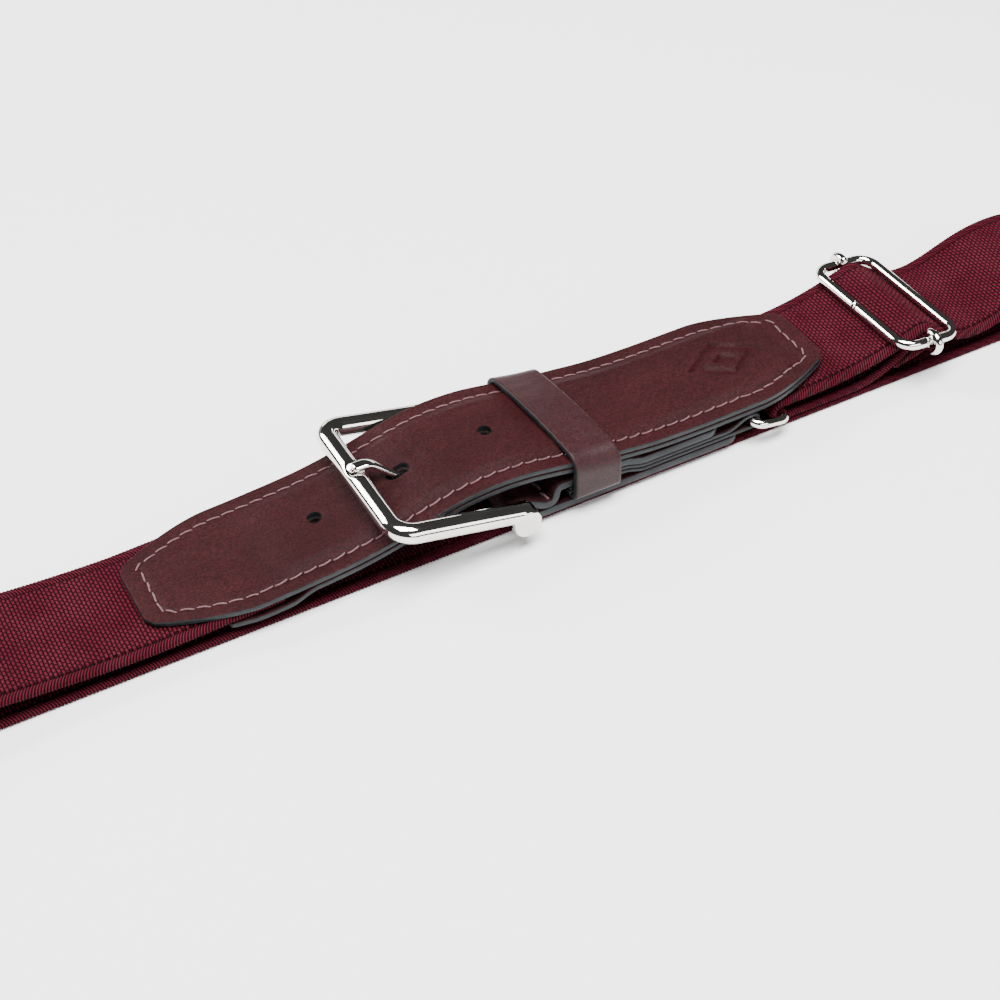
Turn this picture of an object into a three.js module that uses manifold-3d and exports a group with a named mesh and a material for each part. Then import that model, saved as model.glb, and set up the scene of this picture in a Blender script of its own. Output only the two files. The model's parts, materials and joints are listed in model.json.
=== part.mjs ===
// An adjustable stretch-webbing belt with leather ends, buckled and laid flat as a closed loop.
//
// Millimetres. X runs along the belt, Y across it and Z up. The origin is on the table under the
// middle of the loop. The webbing's back run lies on the table, and the front run, with the buckle,
// the leather and the length adjuster, lies over it.
//
// From left to right the front run is: the webbing's left fold, the billet (the punched leather
// tab sewn to the webbing), the buckle with its chape and keeper under the billet's arch, the ring
// that joins the chape to the webbing's bight, the wire slide, and the webbing's right fold.

import * as THREE from 'three';
import { mergeVertices } from 'three/addons/utils/BufferGeometryUtils.js';
import Module from 'manifold-3d';

const wasm = await Module();
wasm.setup();

// ---------------------------------------------------------------------------------------------
// Driving dimensions
// ---------------------------------------------------------------------------------------------

const GAP = 0.3; // air left between two pieces that touch

// Webbing
const LOOP_LENGTH = 430; // flattened loop, outside of one fold to outside of the other
const STRAP_WIDTH = 38;
const STRAP_THICKNESS = 1.8;
const RIGHT_FOLD_HEIGHT = 15.3;
const LEFT_FOLD_HEIGHT = 16.6;
const FOLD_LIFT = 1.1; // how far the webbing springs off the table just before each fold

// Billet: two plies with a filler between them
const LEATHER_WIDTH = 40;
const BILLET_LENGTH = 207;
const UPPER_PLY = 1.7;
const LINING_PLY = 1.6;
const FILLER_THICKNESS = 0.8;
const FILLER_WIDTH = 23;
const BILLET_TIP_WIDTH = 22; // the straight cut across either end
const BILLET_TAPER = 28; // from the tip cut back to full width
const STRAP_INSERT = 34; // how far the webbing reaches under the billet
const LINING_START = 19; // where the lining begins, from the billet's sewn end
const STITCH_INSET = 5;
const THREAD = 0.7;
const HOLE_PITCH = 25.4;
const HOLE_DIAMETER = 4;
const PRONG_HOLE_LENGTH = 6.8;

// Buckle
const BUCKLE_X = 9; // the pivot bar, from the middle of the loop
const BUCKLE_REACH = 36.6; // pivot bar to the middle of the front bar
const BUCKLE_CLEARANCE = 1; // between the leather's edge and the frame's arm, each side
const FRONT_LIFT = 1.6; // the front bar stands this far off the billet
const FRAME_WIDTH = 6; // section of the cast frame
const FRAME_HEIGHT = 5.6;
const FRAME_CORNER = 5.2; // middle of the frame's section
const LUG_LENGTH = 9.2;
const LUG_HEIGHT = 10.4;
const PIVOT_RADIUS = 1.9;
const PIVOT_SEAT = 3.2; // depth of the blind seat in each lug
const PRONG_WIDTH = 3.2;
const PRONG_THICKNESS = 2;
const NOTCH_DEPTH = 1.1;
const PRONG_DROOP = 1.2; // how far the shank slopes down from the pivot to the bend
const PRONG_DRIFT = 2.2; // how far the tip and its notch lie to the far side

// Chape, ring tab and keeper
const CHAPE_PLY = 2.2;
const FOLD_PLY = 1.6; // skived where it folds round the pivot bar
const TAB_PLY = 1.1;
const CHAPE_LENGTH = 75.5; // pivot bar to ring
const CREASE = 9.5; // pivot bar to the row of stitches behind it
const KEEPER_WIDTH = 14;
const KEEPER_OFFSET = 15; // pivot bar to the keeper's near rim
const KEEPER_PLY = 1.9;
const KEEPER_SKIVED = 1.5; // its run between the plies of the chape
const KEEPER_CLEARANCE = 0.5; // beside the leather, each side
const KEEPER_SLACK = 0.4; // over the billet
const KEEPER_SKEW = 1.6; // its far side lies this much to the left, its near side to the right
const KEEPER_SHOULDER = 2.6; // inner rounding over the billet's edges
const KEEPER_HEEL = 1.2; // inner rounding where it turns between the chape's plies

// Ring and slide, bent from wire
const RING_WIRE = 2.6;
const RING_SPAN = 11; // between the middles of its two long bars
const SLIDE_X = 145;
const SLIDE_WIRE = 3;
const SLIDE_SPAN = 20;
const SLIDE_CORNER = 5;
const SLIDE_TILT = 5.4; // degrees, the bar nearer the buckle stands higher
const CENTRE_WIRE = 2.6;
const CENTRE_BAR_Z = 11.3;
const WIRE_CLEARANCE = 1.5; // beside the webbing, each side
const TAIL_LENGTH = 9; // webbing turned back under itself at the slide

// ---------------------------------------------------------------------------------------------
// Heights of the stack, worked out from the thicknesses
// ---------------------------------------------------------------------------------------------

const strapHalf = STRAP_THICKNESS / 2;
const backTop = STRAP_THICKNESS;
const chapeLowTop = backTop + GAP + CHAPE_PLY;
const tabLowTop = chapeLowTop + GAP + TAB_PLY;
const tabHighTop = tabLowTop + GAP + TAB_PLY;
const chapeTop = tabHighTop + GAP + CHAPE_PLY;
const keeperLift = KEEPER_SKIVED + GAP;
const bedRest = chapeTop + GAP + LINING_PLY + GAP; // the upper ply's underside where it lies flat

const pivotX = BUCKLE_X;
const pivotZ = backTop + GAP + Math.max(FOLD_PLY, PRONG_THICKNESS) + GAP + PIVOT_RADIUS;
const ringRadius = RING_WIRE / 2;
const ringX = pivotX + CHAPE_LENGTH;
const ringZ = chapeLowTop + GAP + TAB_PLY + GAP + ringRadius;
const returnZ = backTop + GAP + strapHalf; // middle of the return ply where it lies on the back run
const ringWrap = ringRadius + GAP + strapHalf;
const ringStrapX = ringX + RING_SPAN;
const ringStrapZ = returnZ + ringWrap;
const keeperLeft = pivotX + KEEPER_OFFSET;
const keeperRight = keeperLeft + KEEPER_WIDTH;

const billetHalf = LEATHER_WIDTH / 2;
const billetLeft = pivotX - 101;
const billetRight = billetLeft + BILLET_LENGTH;
const prongHoleX = pivotX - 24.6;
const frontX = pivotX - BUCKLE_REACH;

// ---------------------------------------------------------------------------------------------
// Shape helpers
// ---------------------------------------------------------------------------------------------

const DEG = Math.PI / 180;
const clamp = THREE.MathUtils.clamp;
const smooth = THREE.MathUtils.smoothstep;

/** Six times the signed volume of an indexed mesh: positive when its faces point outwards. */
function signedVolume(points, index) {
  let sum = 0;
  for (let i = 0; i < index.length; i += 3) {
    const [a, b, c] = [points[index[i]], points[index[i + 1]], points[index[i + 2]]];
    sum += a.dot(new THREE.Vector3().crossVectors(b, c));
  }
  return sum;
}

/** A closed solid from points and triangles, turned so that its faces point outwards. */
function solid(points, index) {
  if (signedVolume(points, index) < 0) index.reverse();
  const geometry = new THREE.BufferGeometry();
  geometry.setAttribute('position', new THREE.Float32BufferAttribute(points.flatMap((p) => p.toArray()), 3));
  geometry.setIndex(index);
  return geometry;
}

/** The side triangles that join rings of equal point count, one after the other. */
function sides(ringCount, n, closed) {
  const index = [];
  for (let i = 0; i < (closed ? ringCount : ringCount - 1); i++) {
    const a = i * n;
    const b = ((i + 1) % ringCount) * n;
    for (let j = 0; j < n; j++) {
      const k = (j + 1) % n;
      index.push(a + j, a + k, b + k, a + j, b + k, b + j);
    }
  }
  return index;
}

/** Joins convex rings into a tube, capped at both ends unless it closes on itself. */
function loft(rings, closed = false) {
  const n = rings[0].length;
  const index = sides(rings.length, n, closed);
  if (!closed) {
    const last = (rings.length - 1) * n;
    for (let j = 1; j < n - 1; j++) {
      index.push(0, j + 1, j);
      index.push(last, last + j, last + j + 1);
    }
  }
  return solid(rings.flat(), index);
}

/** Unit normals of a polyline in the XZ plane, a quarter turn anticlockwise from its direction. */
function normalsOf(line) {
  return line.map((_, i) => {
    const before = line[Math.max(i - 1, 0)];
    const after = line[Math.min(i + 1, line.length - 1)];
    const along = after.clone().sub(before).normalize();
    return new THREE.Vector2(-along.y, along.x);
  });
}

/** A flat ribbon that runs along a route in the XZ plane; thickness may depend on the place. */
function ribbon(line, width, thickness) {
  const normals = normalsOf(line);
  return loft(line.map((p, i) => {
    const half = (typeof thickness === 'function' ? thickness(p) : thickness) / 2;
    const at = (side, y) => new THREE.Vector3(
      p.x + side * half * normals[i].x, y, p.y + side * half * normals[i].y);
    return [at(1, -width / 2), at(1, width / 2), at(-1, width / 2), at(-1, -width / 2)];
  }));
}

/** A bar of rounded section swept along points that lie in one plane with the given normal. */
function bar(points, planeNormal, width, height, { closed = false, sides = 8 } = {}) {
  const last = points.length - 1;
  const rings = points.map((p, i) => {
    const before = closed ? points[(i + last) % (last + 1)] : points[Math.max(i - 1, 0)];
    const after = closed ? points[(i + 1) % (last + 1)] : points[Math.min(i + 1, last)];
    const along = after.clone().sub(before).normalize();
    const across = new THREE.Vector3().crossVectors(along, planeNormal).normalize();
    return Array.from({ length: sides }, (_, k) => {
      const turn = ((k + 0.5) / sides) * 2 * Math.PI;
      return p.clone()
        .addScaledVector(across, (width / 2) * Math.cos(turn))
        .addScaledVector(planeNormal, (height / 2) * Math.sin(turn));
    });
  });
  return loft(rings, closed);
}

/** The outline of a rounded rectangle, as a closed list of points in its own plane. */
function roundedRectangle(halfX, halfY, radius, steps) {
  const corners = [[1, 1, 0], [-1, 1, 90], [-1, -1, 180], [1, -1, 270]];
  return corners.flatMap(([sx, sy, start]) => Array.from({ length: steps + 1 }, (_, i) => {
    const turn = (start + (90 * i) / steps) * DEG;
    return new THREE.Vector2(
      sx * (halfX - radius) + radius * Math.cos(turn),
      sy * (halfY - radius) + radius * Math.sin(turn));
  }));
}

/** A leather ply: a grid of stations along X and columns across Y between two height functions. */
function ply(stations, columns, halfWidth, top, bottom) {
  const widest = Math.max(...columns);
  const across = (x, height) => columns.map((c) => {
    const y = (c / widest) * halfWidth(x);
    return new THREE.Vector3(x, y, height(x, y));
  });
  const rings = stations.map((x) => [...across(x, top), ...across(x, bottom).reverse()]);
  const n = 2 * columns.length;
  const index = sides(rings.length, n, false);
  const last = (rings.length - 1) * n;
  for (let j = 0; j < columns.length - 1; j++) {
    const [above, next, under, beyond] = [j, j + 1, n - 1 - j, n - 2 - j];
    index.push(above, under, beyond, above, beyond, next);
    index.push(last + above, last + beyond, last + under, last + above, last + next, last + beyond);
  }
  return solid(rings.flat(), index);
}

/** three.js geometry to a manifold solid. */
function toSolid(geometry) {
  const bare = geometry.index ? geometry.clone() : geometry;
  bare.deleteAttribute('normal');
  bare.deleteAttribute('uv');
  const merged = mergeVertices(bare, 1e-4);
  return new wasm.Manifold(new wasm.Mesh({
    numProp: 3,
    vertProperties: new Float32Array(merged.attributes.position.array),
    triVerts: new Uint32Array(merged.index.array),
  }));
}

/** A manifold solid back to three.js geometry. */
function fromSolid(body) {
  const mesh = body.getMesh();
  const geometry = new THREE.BufferGeometry();
  geometry.setAttribute('position', new THREE.BufferAttribute(mesh.vertProperties, 3));
  geometry.setIndex(new THREE.BufferAttribute(mesh.triVerts, 1));
  return geometry;
}

/** Cuts tools out of a blank. */
function cut(blank, ...tools) {
  return fromSolid(tools.reduce((body, tool) => body.subtract(toSolid(tool)), toSolid(blank)));
}

/** Joins a blank and its additions into one solid. */
function joined(blank, ...additions) {
  return fromSolid(additions.reduce((body, piece) => body.add(toSolid(piece)), toSolid(blank)));
}

// ---------------------------------------------------------------------------------------------
// The bed: the curve that the billet's upper ply lies on, from its sewn end over the buckle to its tip
// ---------------------------------------------------------------------------------------------

// [place from the pivot bar, height above the flat-lying level]
const BED_POINTS = [
  [-101, -4.8], [-82, -4], [-70, -3.6], [-52, -2.2], [-42, -0.8], [-32, 1.5], [-24, 3.8], [-15, 5.9],
  [-6, 6.7], [3, 6.4], [12, 5], [22, 3.1], [32, 2], [44, 0.7], [58, 0.3], [76, 0.5], [92, 0.5], [106, 0.7],
];
const bedCurve = new THREE.SplineCurve(BED_POINTS.map(([x, z]) => new THREE.Vector2(pivotX + x, bedRest + z)));
const bedSamples = bedCurve.getPoints(BED_POINTS.length * 8);

/** Height of the upper ply's underside at a place along the belt. */
function bed(x) {
  const i = clamp(bedSamples.findIndex((p) => p.x >= x), 1, bedSamples.length - 1);
  const [a, b] = [bedSamples[i - 1], bedSamples[i]];
  return THREE.MathUtils.lerp(a.y, b.y, (x - a.x) / (b.x - a.x));
}

/** Half the billet's width: full in the middle, tapered with rounded shoulders to a straight cut. */
function billetHalfWidth(x) {
  const reach = Math.min(x - billetLeft, billetRight - x);
  const tip = BILLET_TIP_WIDTH / 2;
  const round = 3;
  const corner = reach < round ? round - Math.sqrt(round ** 2 - (round - reach) ** 2) : 0;
  const taper = clamp(reach / BILLET_TAPER, 0, 1);
  return tip + (billetHalf - tip) * (1 - (1 - taper) ** 1.6) - corner;
}

const fillerLeft = billetLeft + STRAP_INSERT + 8;
const fillerRight = billetRight - 14;

/** How far the filler lifts the upper ply, from 0 to 1. */
function crown(x, y) {
  const along = smooth(x, fillerLeft - 5, fillerLeft + 1) * (1 - smooth(x, fillerRight - 1, fillerRight + 5));
  return along * (1 - smooth(Math.abs(y), FILLER_WIDTH / 2 + 0.6, FILLER_WIDTH / 2 + 3));
}

const billetTop = (x, y) => bed(x) + UPPER_PLY + (FILLER_THICKNESS + GAP) * crown(x, y);

/** Stations along X, closer together in the rounded ends. */
function stationsBetween(left, right, spacing) {
  const ends = [0, 0.4, 1.2, 2.4, 4];
  const first = left + ends.at(-1);
  const count = Math.ceil((right - ends.at(-1) - first) / spacing);
  const middle = Array.from({ length: count - 1 }, (_, i) =>
    THREE.MathUtils.lerp(first, right - ends.at(-1), (i + 1) / count));
  return [...ends.map((e) => left + e), ...middle, ...ends.toReversed().map((e) => right - e)];
}

// ---------------------------------------------------------------------------------------------
// Webbing
// ---------------------------------------------------------------------------------------------

const slideRadius = SLIDE_WIRE / 2;
const centreRadius = CENTRE_WIRE / 2;
const wrapRadius = centreRadius + GAP + strapHalf; // webbing sewn round the centre bar
const overRadius = wrapRadius + STRAP_THICKNESS + GAP; // webbing that runs over it
const underRadius = slideRadius + GAP + strapHalf; // webbing that runs under the outer bars
const slideFrameZ = CENTRE_BAR_Z + centreRadius + GAP + slideRadius;
const slideRise = (SLIDE_SPAN / 2) * Math.tan(SLIDE_TILT * DEG);
const slideLeft = new THREE.Vector2(SLIDE_X - SLIDE_SPAN / 2, slideFrameZ + slideRise);
const slideRight = new THREE.Vector2(SLIDE_X + SLIDE_SPAN / 2, slideFrameZ - slideRise);
const slideCentre = new THREE.Vector2(SLIDE_X, CENTRE_BAR_Z);
const tail = new THREE.Vector2(SLIDE_X - TAIL_LENGTH, returnZ + STRAP_THICKNESS + 1.2);

/** Direction of the straight run that leaves one circle and meets the other on its opposite side. */
function crossing(from, fromRadius, to, toRadius, sense) {
  const between = to.clone().sub(from);
  return between.angle() + sense * Math.asin((fromRadius + toRadius) / between.length());
}

/** The middle line of the webbing, from its sewn end at the slide to its sewn end in the billet. */
function strapRoute() {
  const route = new THREE.Path();
  const quarter = Math.PI / 2;
  const on = (centre, radius, angle) =>
    new THREE.Vector2(centre.x + radius * Math.cos(angle), centre.y + radius * Math.sin(angle));

  // tail, round the centre bar, and back down as the return ply
  const lead = on(slideCentre, wrapRadius, -50 * DEG);
  route.moveTo(tail.x, tail.y);
  route.bezierCurveTo(tail.x + 4, tail.y + 1.6, lead.x - 3, lead.y - 2.3, lead.x, lead.y);
  route.absarc(slideCentre.x, slideCentre.y, wrapRadius, -50 * DEG, 120 * DEG, false);
  const leave = on(slideCentre, wrapRadius, 120 * DEG);
  const landing = SLIDE_X - 25;
  route.bezierCurveTo(leave.x - 5, leave.y - 3, landing + 12, returnZ, landing, returnZ);
  route.lineTo(ringStrapX, returnZ);

  // round the ring's bar, then right as the front run
  route.absarc(ringStrapX, ringStrapZ, ringWrap, -quarter, quarter, true);
  const up = crossing(slideLeft, underRadius, slideCentre, overRadius, 1);
  const down = crossing(slideCentre, overRadius, slideRight, underRadius, -1);
  const enterAngle = -72 * DEG;
  const enter = on(slideLeft, underRadius, enterAngle);
  route.bezierCurveTo(
    ringStrapX + 14, ringStrapZ + ringWrap, enter.x - 14, enter.y - 14 * Math.tan(18 * DEG), enter.x, enter.y);
  route.absarc(slideLeft.x, slideLeft.y, underRadius, enterAngle, up - quarter, false);
  const over = on(slideCentre, overRadius, up + quarter);
  route.lineTo(over.x, over.y);
  route.absarc(slideCentre.x, slideCentre.y, overRadius, up + quarter, down + quarter, true);
  const under = on(slideRight, underRadius, down - quarter);
  route.lineTo(under.x, under.y);

  // dip, right fold, back run, left fold
  const end = LOOP_LENGTH / 2 - strapHalf;
  const rightTop = RIGHT_FOLD_HEIGHT - strapHalf;
  const leftTop = LEFT_FOLD_HEIGHT - strapHalf;
  const dip = SLIDE_X + 20.5;
  route.bezierCurveTo(
    under.x + 3.5, under.y + 3.5 * Math.tan(down), dip - 6, returnZ + 4, dip, returnZ + 4);
  route.bezierCurveTo(dip + 11, returnZ + 4, end - 31, rightTop, end - 15, rightTop);
  route.bezierCurveTo(end - 5, rightTop, end, rightTop - 3, end, rightTop / 2);
  const lifted = strapHalf + FOLD_LIFT;
  route.bezierCurveTo(end, lifted + 0.5, end - 12, lifted, end - 24, strapHalf);
  route.lineTo(-end + 30, strapHalf);
  route.bezierCurveTo(-end + 14, lifted, -end, lifted + 0.5, -end, leftTop / 2);
  route.bezierCurveTo(-end, leftTop - 2.5, -end + 6, leftTop, -end + 16, leftTop);
  const billetStart = billetLeft;
  const underBed = GAP + strapHalf;
  route.bezierCurveTo(
    -end + 40, leftTop, billetStart - 45, bed(billetStart) - underBed + 0.3, billetStart, bed(billetStart) - underBed);
  for (let x = 4; x <= STRAP_INSERT; x += 6) {
    route.lineTo(billetStart + x, bed(billetStart + x) - underBed);
  }
  return route.getPoints(9);
}

function strapWebbing() {
  return ribbon(strapRoute(), STRAP_WIDTH, STRAP_THICKNESS);
}

/** Row of stitches across the webbing's tail, on its underside. */
function strapEndStitching() {
  return new THREE.BoxGeometry(THREAD, STRAP_WIDTH - 6, THREAD)
    .translate(tail.x + 1, 0, tail.y - strapHalf - GAP - THREAD);
}

// ---------------------------------------------------------------------------------------------
// Billet
// ---------------------------------------------------------------------------------------------

const crownEdge = FILLER_WIDTH / 2;
// columns across the upper ply, closest where the filler's edge lifts it
const billetSide = [6, crownEdge + 1.1, crownEdge + 3.1, billetHalf - 3, billetHalf];
const billetColumns = [...billetSide.toReversed().map((y) => -y), ...billetSide];

/** The three punched holes, the middle one stretched long by the prong. */
function holeTools() {
  const depth = 40;
  const round = (x) => new THREE.CylinderGeometry(HOLE_DIAMETER / 2, HOLE_DIAMETER / 2, depth, 16)
    .rotateX(Math.PI / 2).translate(x, 0, bedRest);
  const reach = PRONG_HOLE_LENGTH / 2 - HOLE_DIAMETER / 2;
  const slotCentre = prongHoleX - 0.8;
  const slot = joined(
    new THREE.BoxGeometry(2 * reach, HOLE_DIAMETER, depth).translate(slotCentre, 0, bedRest),
    round(slotCentre - reach), round(slotCentre + reach));
  return [round(prongHoleX - HOLE_PITCH), slot, round(prongHoleX + HOLE_PITCH)];
}

function billetUpper() {
  const stations = stationsBetween(billetLeft, billetRight, 5);
  const pocket = (x, y) => bed(x) + (FILLER_THICKNESS + GAP) * crown(x, y);
  const blank = ply(stations, billetColumns, billetHalfWidth, billetTop, pocket);
  return cut(blank, ...holeTools());
}

function billetFiller() {
  const stations = stationsBetween(fillerLeft + 2, fillerRight - 2, 7);
  const half = () => FILLER_WIDTH / 2;
  const blank = ply(stations, [-1, 0, 1], half, (x) => bed(x) + FILLER_THICKNESS, (x) => bed(x));
  return cut(blank, ...holeTools());
}

/** The lining steps down under the webbing's end and lies against the upper ply past it. */
function billetLining() {
  const left = billetLeft + LINING_START;
  const strapEnd = billetLeft + STRAP_INSERT;
  const step = STRAP_THICKNESS + GAP;
  const top = (x) => bed(x) - GAP - step * (1 - smooth(x, strapEnd + 1, strapEnd + 9));
  const stations = stationsBetween(left, billetRight, 5);
  const blank = ply(stations, [-1, 0, 1], billetHalfWidth, top, (x) => top(x) - LINING_PLY);
  return cut(blank, ...holeTools());
}

/** One continuous row of thread that runs round the billet, inset from its edge. */
function billetStitching() {
  const left = billetLeft + STITCH_INSET;
  const right = billetRight - STITCH_INSET;
  const side = stationsBetween(left, right, 5).map((x) => [x, billetHalfWidth(x) - STITCH_INSET * 0.85]);
  const loop = [...side, ...side.toReversed().map(([x, y]) => [x, -y])];
  const height = (x, y) => billetTop(x, y) + GAP + THREAD;
  const points = loop.map(([x, y]) => new THREE.Vector3(x, y, height(x, y)));
  return bar(points, new THREE.Vector3(0, 0, 1), THREAD, THREAD, { closed: true, sides: 4 });
}

// ---------------------------------------------------------------------------------------------
// Chape, ring tab and keeper
// ---------------------------------------------------------------------------------------------

const chapeUpperMid = tabHighTop + GAP + CHAPE_PLY / 2;
const chapeLowerMid = backTop + GAP + CHAPE_PLY / 2;
const creaseMid = chapeLowTop + GAP + CHAPE_PLY / 2;
const foldRadius = PIVOT_RADIUS + GAP + FOLD_PLY / 2;
const creaseX = pivotX + CREASE;
const tabLeft = keeperLeft + 1;
const riseRight = keeperRight + 2 + KEEPER_SKEW; // the plies above the keeper's lower run come down from here
const riseEnd = keeperRight + 10 + KEEPER_SKEW;

/** The strip that carries the buckle: upper ply, fold round the pivot bar, lower ply. */
function chape() {
  const route = new THREE.Path();
  const raised = chapeUpperMid + keeperLift;
  route.moveTo(ringX - 10, chapeUpperMid);
  route.lineTo(riseEnd, chapeUpperMid);
  route.bezierCurveTo(riseEnd - 3, chapeUpperMid, riseRight + 3, raised, riseRight, raised);
  const lift = keeperLeft - KEEPER_SKEW;
  route.lineTo(lift, raised);
  route.bezierCurveTo(lift - 2, raised, creaseX + 3, creaseMid, creaseX + 0.6, creaseMid);
  route.lineTo(creaseX, creaseMid);
  route.bezierCurveTo(
    creaseX - 3, creaseMid, pivotX + 5, pivotZ + foldRadius, pivotX, pivotZ + foldRadius);
  route.absarc(pivotX, pivotZ, foldRadius, Math.PI / 2, -Math.PI / 2, false);
  route.bezierCurveTo(
    pivotX + 3, pivotZ - foldRadius, pivotX + 5, chapeLowerMid, pivotX + 9, chapeLowerMid);
  route.lineTo(ringX - 3, chapeLowerMid);
  const thickness = (p) => THREE.MathUtils.lerp(FOLD_PLY, CHAPE_PLY, smooth(p.x, pivotX + 1, pivotX + 8));
  const eyeRadius = PIVOT_RADIUS + GAP + PRONG_THICKNESS;
  const slotLength = 2 * eyeRadius + 4;
  const slot = new THREE.BoxGeometry(slotLength, PRONG_WIDTH + 1.6, 4 * eyeRadius)
    .translate(pivotX - eyeRadius - 1 + slotLength / 2, 0, pivotZ);
  return cut(ribbon(route.getPoints(8), LEATHER_WIDTH, thickness), slot);
}

/** The thinner strip inside the chape that loops round the ring. */
function ringTab() {
  const route = new THREE.Path();
  const loopRadius = ringRadius + GAP + TAB_PLY / 2;
  const lowMid = tabLowTop - TAB_PLY / 2;
  const highMid = tabHighTop - TAB_PLY / 2;
  route.moveTo(tabLeft, lowMid + keeperLift);
  route.lineTo(riseRight, lowMid + keeperLift);
  route.bezierCurveTo(riseRight + 3, lowMid + keeperLift, riseEnd - 3, lowMid, riseEnd, lowMid);
  route.lineTo(ringX, ringZ - loopRadius);
  route.absarc(ringX, ringZ, loopRadius, -Math.PI / 2, Math.PI / 2, false);
  route.bezierCurveTo(ringX - 4, ringZ + loopRadius, ringX - 5, highMid, ringX - 9, highMid);
  route.lineTo(riseEnd, highMid);
  route.bezierCurveTo(riseEnd - 3, highMid, riseRight + 3, highMid + keeperLift, riseRight, highMid + keeperLift);
  route.lineTo(tabLeft, highMid + keeperLift);
  return ribbon(route.getPoints(8), LEATHER_WIDTH - 0.4, TAB_PLY);
}

/** A row of stitches across the chape, behind the pivot bar. */
function crossStitching(x, underside) {
  return new THREE.BoxGeometry(THREAD, LEATHER_WIDTH - 2 * STITCH_INSET, THREAD)
    .translate(x, 0, underside + GAP + THREAD / 2);
}

/** A closed leather band round the billet; its lower run passes between the plies of the chape. */
function keeperLoop() {
  const inner = billetHalf + KEEPER_CLEARANCE;
  const innerLow = chapeLowTop + GAP + KEEPER_SKIVED;
  const corners = [
    { side: 1, level: 1, radius: KEEPER_SHOULDER, start: 0 },
    { side: -1, level: 1, radius: KEEPER_SHOULDER, start: 90 },
    { side: -1, level: -1, radius: KEEPER_HEEL, start: 180 },
    { side: 1, level: -1, radius: KEEPER_HEEL, start: 270 },
  ];
  const rim = (x) => {
    return corners.flatMap(({ side, level, radius, start }) => Array.from({ length: 6 }, (_, i) => {
      const turn = (start + 18 * i) * DEG;
      const plies = level < 0 ? KEEPER_SKIVED : KEEPER_PLY;
      const y = side * (inner - radius);
      const innerHigh = billetTop(x - side * KEEPER_SKEW, 0) + KEEPER_SLACK;
      const z = level > 0 ? innerHigh - radius : innerLow + radius;
      const at = (across, up) => {
        const beside = y + across * Math.cos(turn);
        return new THREE.Vector3(x - KEEPER_SKEW * (beside / inner), beside, z + up * Math.sin(turn));
      };
      return [at(radius, radius), at(radius + KEEPER_PLY, radius + plies)];
    }));
  };
  const left = rim(keeperLeft);
  const right = rim(keeperRight);
  return loft(left.map(([innerLeft, outerLeft], i) => [innerLeft, outerLeft, right[i][1], right[i][0]]), true);
}

// ---------------------------------------------------------------------------------------------
// Buckle
// ---------------------------------------------------------------------------------------------

const armInner = billetHalf + BUCKLE_CLEARANCE;
const armMid = armInner + FRAME_WIDTH / 2;
const frontZ = billetTop(frontX, 0) + FRONT_LIFT + FRAME_HEIGHT / 2;
const armEnd = new THREE.Vector2(pivotX + 1, pivotZ + 4.4);

/** The cast frame: a three-sided bar, a lug under each arm's end, and a notch for the prong. */
function buckleFrame() {
  const slope = (frontZ - armEnd.y) / (armEnd.x - frontX);
  const at = (x, y) => new THREE.Vector3(x, y, armEnd.y + slope * (armEnd.x - x));
  const corner = (sign) => Array.from({ length: 6 }, (_, i) => {
    const turn = (i / 5) * 90 * DEG;
    return at(
      frontX + FRAME_CORNER * (1 - Math.sin(turn)),
      sign * (armMid - FRAME_CORNER * (1 - Math.cos(turn))));
  });
  const near = [at(armEnd.x, -armMid), at((armEnd.x + frontX) / 2, -armMid), ...corner(-1)];
  const far = [at(armEnd.x, armMid), at((armEnd.x + frontX) / 2, armMid), ...corner(1)];
  const plane = new THREE.Vector3(slope, 0, 1).normalize();
  const loop = bar([...near, ...far.reverse()], plane, FRAME_WIDTH, FRAME_HEIGHT, { sides: 10 });
  const outline = new THREE.Shape();
  outline.absellipse(0, 0, LUG_LENGTH / 2, LUG_HEIGHT / 2, 0, 2 * Math.PI);
  const round = 0.8;
  const lug = (sign) => new THREE.ExtrudeGeometry(outline, {
    depth: FRAME_WIDTH - 2 * round, bevelSize: round, bevelThickness: round, bevelOffset: -round,
    bevelSegments: 2, curveSegments: 10,
  }).translate(0, 0, -FRAME_WIDTH / 2 + round)
    .rotateX(Math.PI / 2)
    .translate(pivotX + 0.9, sign * armMid, pivotZ + LUG_HEIGHT / 2 - 3.5);
  const seat = new THREE.CylinderGeometry(
    PIVOT_RADIUS + GAP, PIVOT_RADIUS + GAP, 2 * (armInner + PIVOT_SEAT + GAP), 16).translate(pivotX, 0, pivotZ);
  const notchRadius = PRONG_WIDTH / 2 + 0.6;
  const notch = new THREE.CylinderGeometry(notchRadius, notchRadius, 2 * FRAME_WIDTH, 12)
    .rotateZ(Math.PI / 2).translate(frontX, PRONG_DRIFT, frontZ + FRAME_HEIGHT / 2 - NOTCH_DEPTH + notchRadius);
  return cut(joined(loop, lug(-1), lug(1)), seat, notch);
}

function buckleBar() {
  return new THREE.CylinderGeometry(PIVOT_RADIUS, PIVOT_RADIUS, 2 * (armInner + PIVOT_SEAT), 16)
    .translate(pivotX, 0, pivotZ);
}

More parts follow.
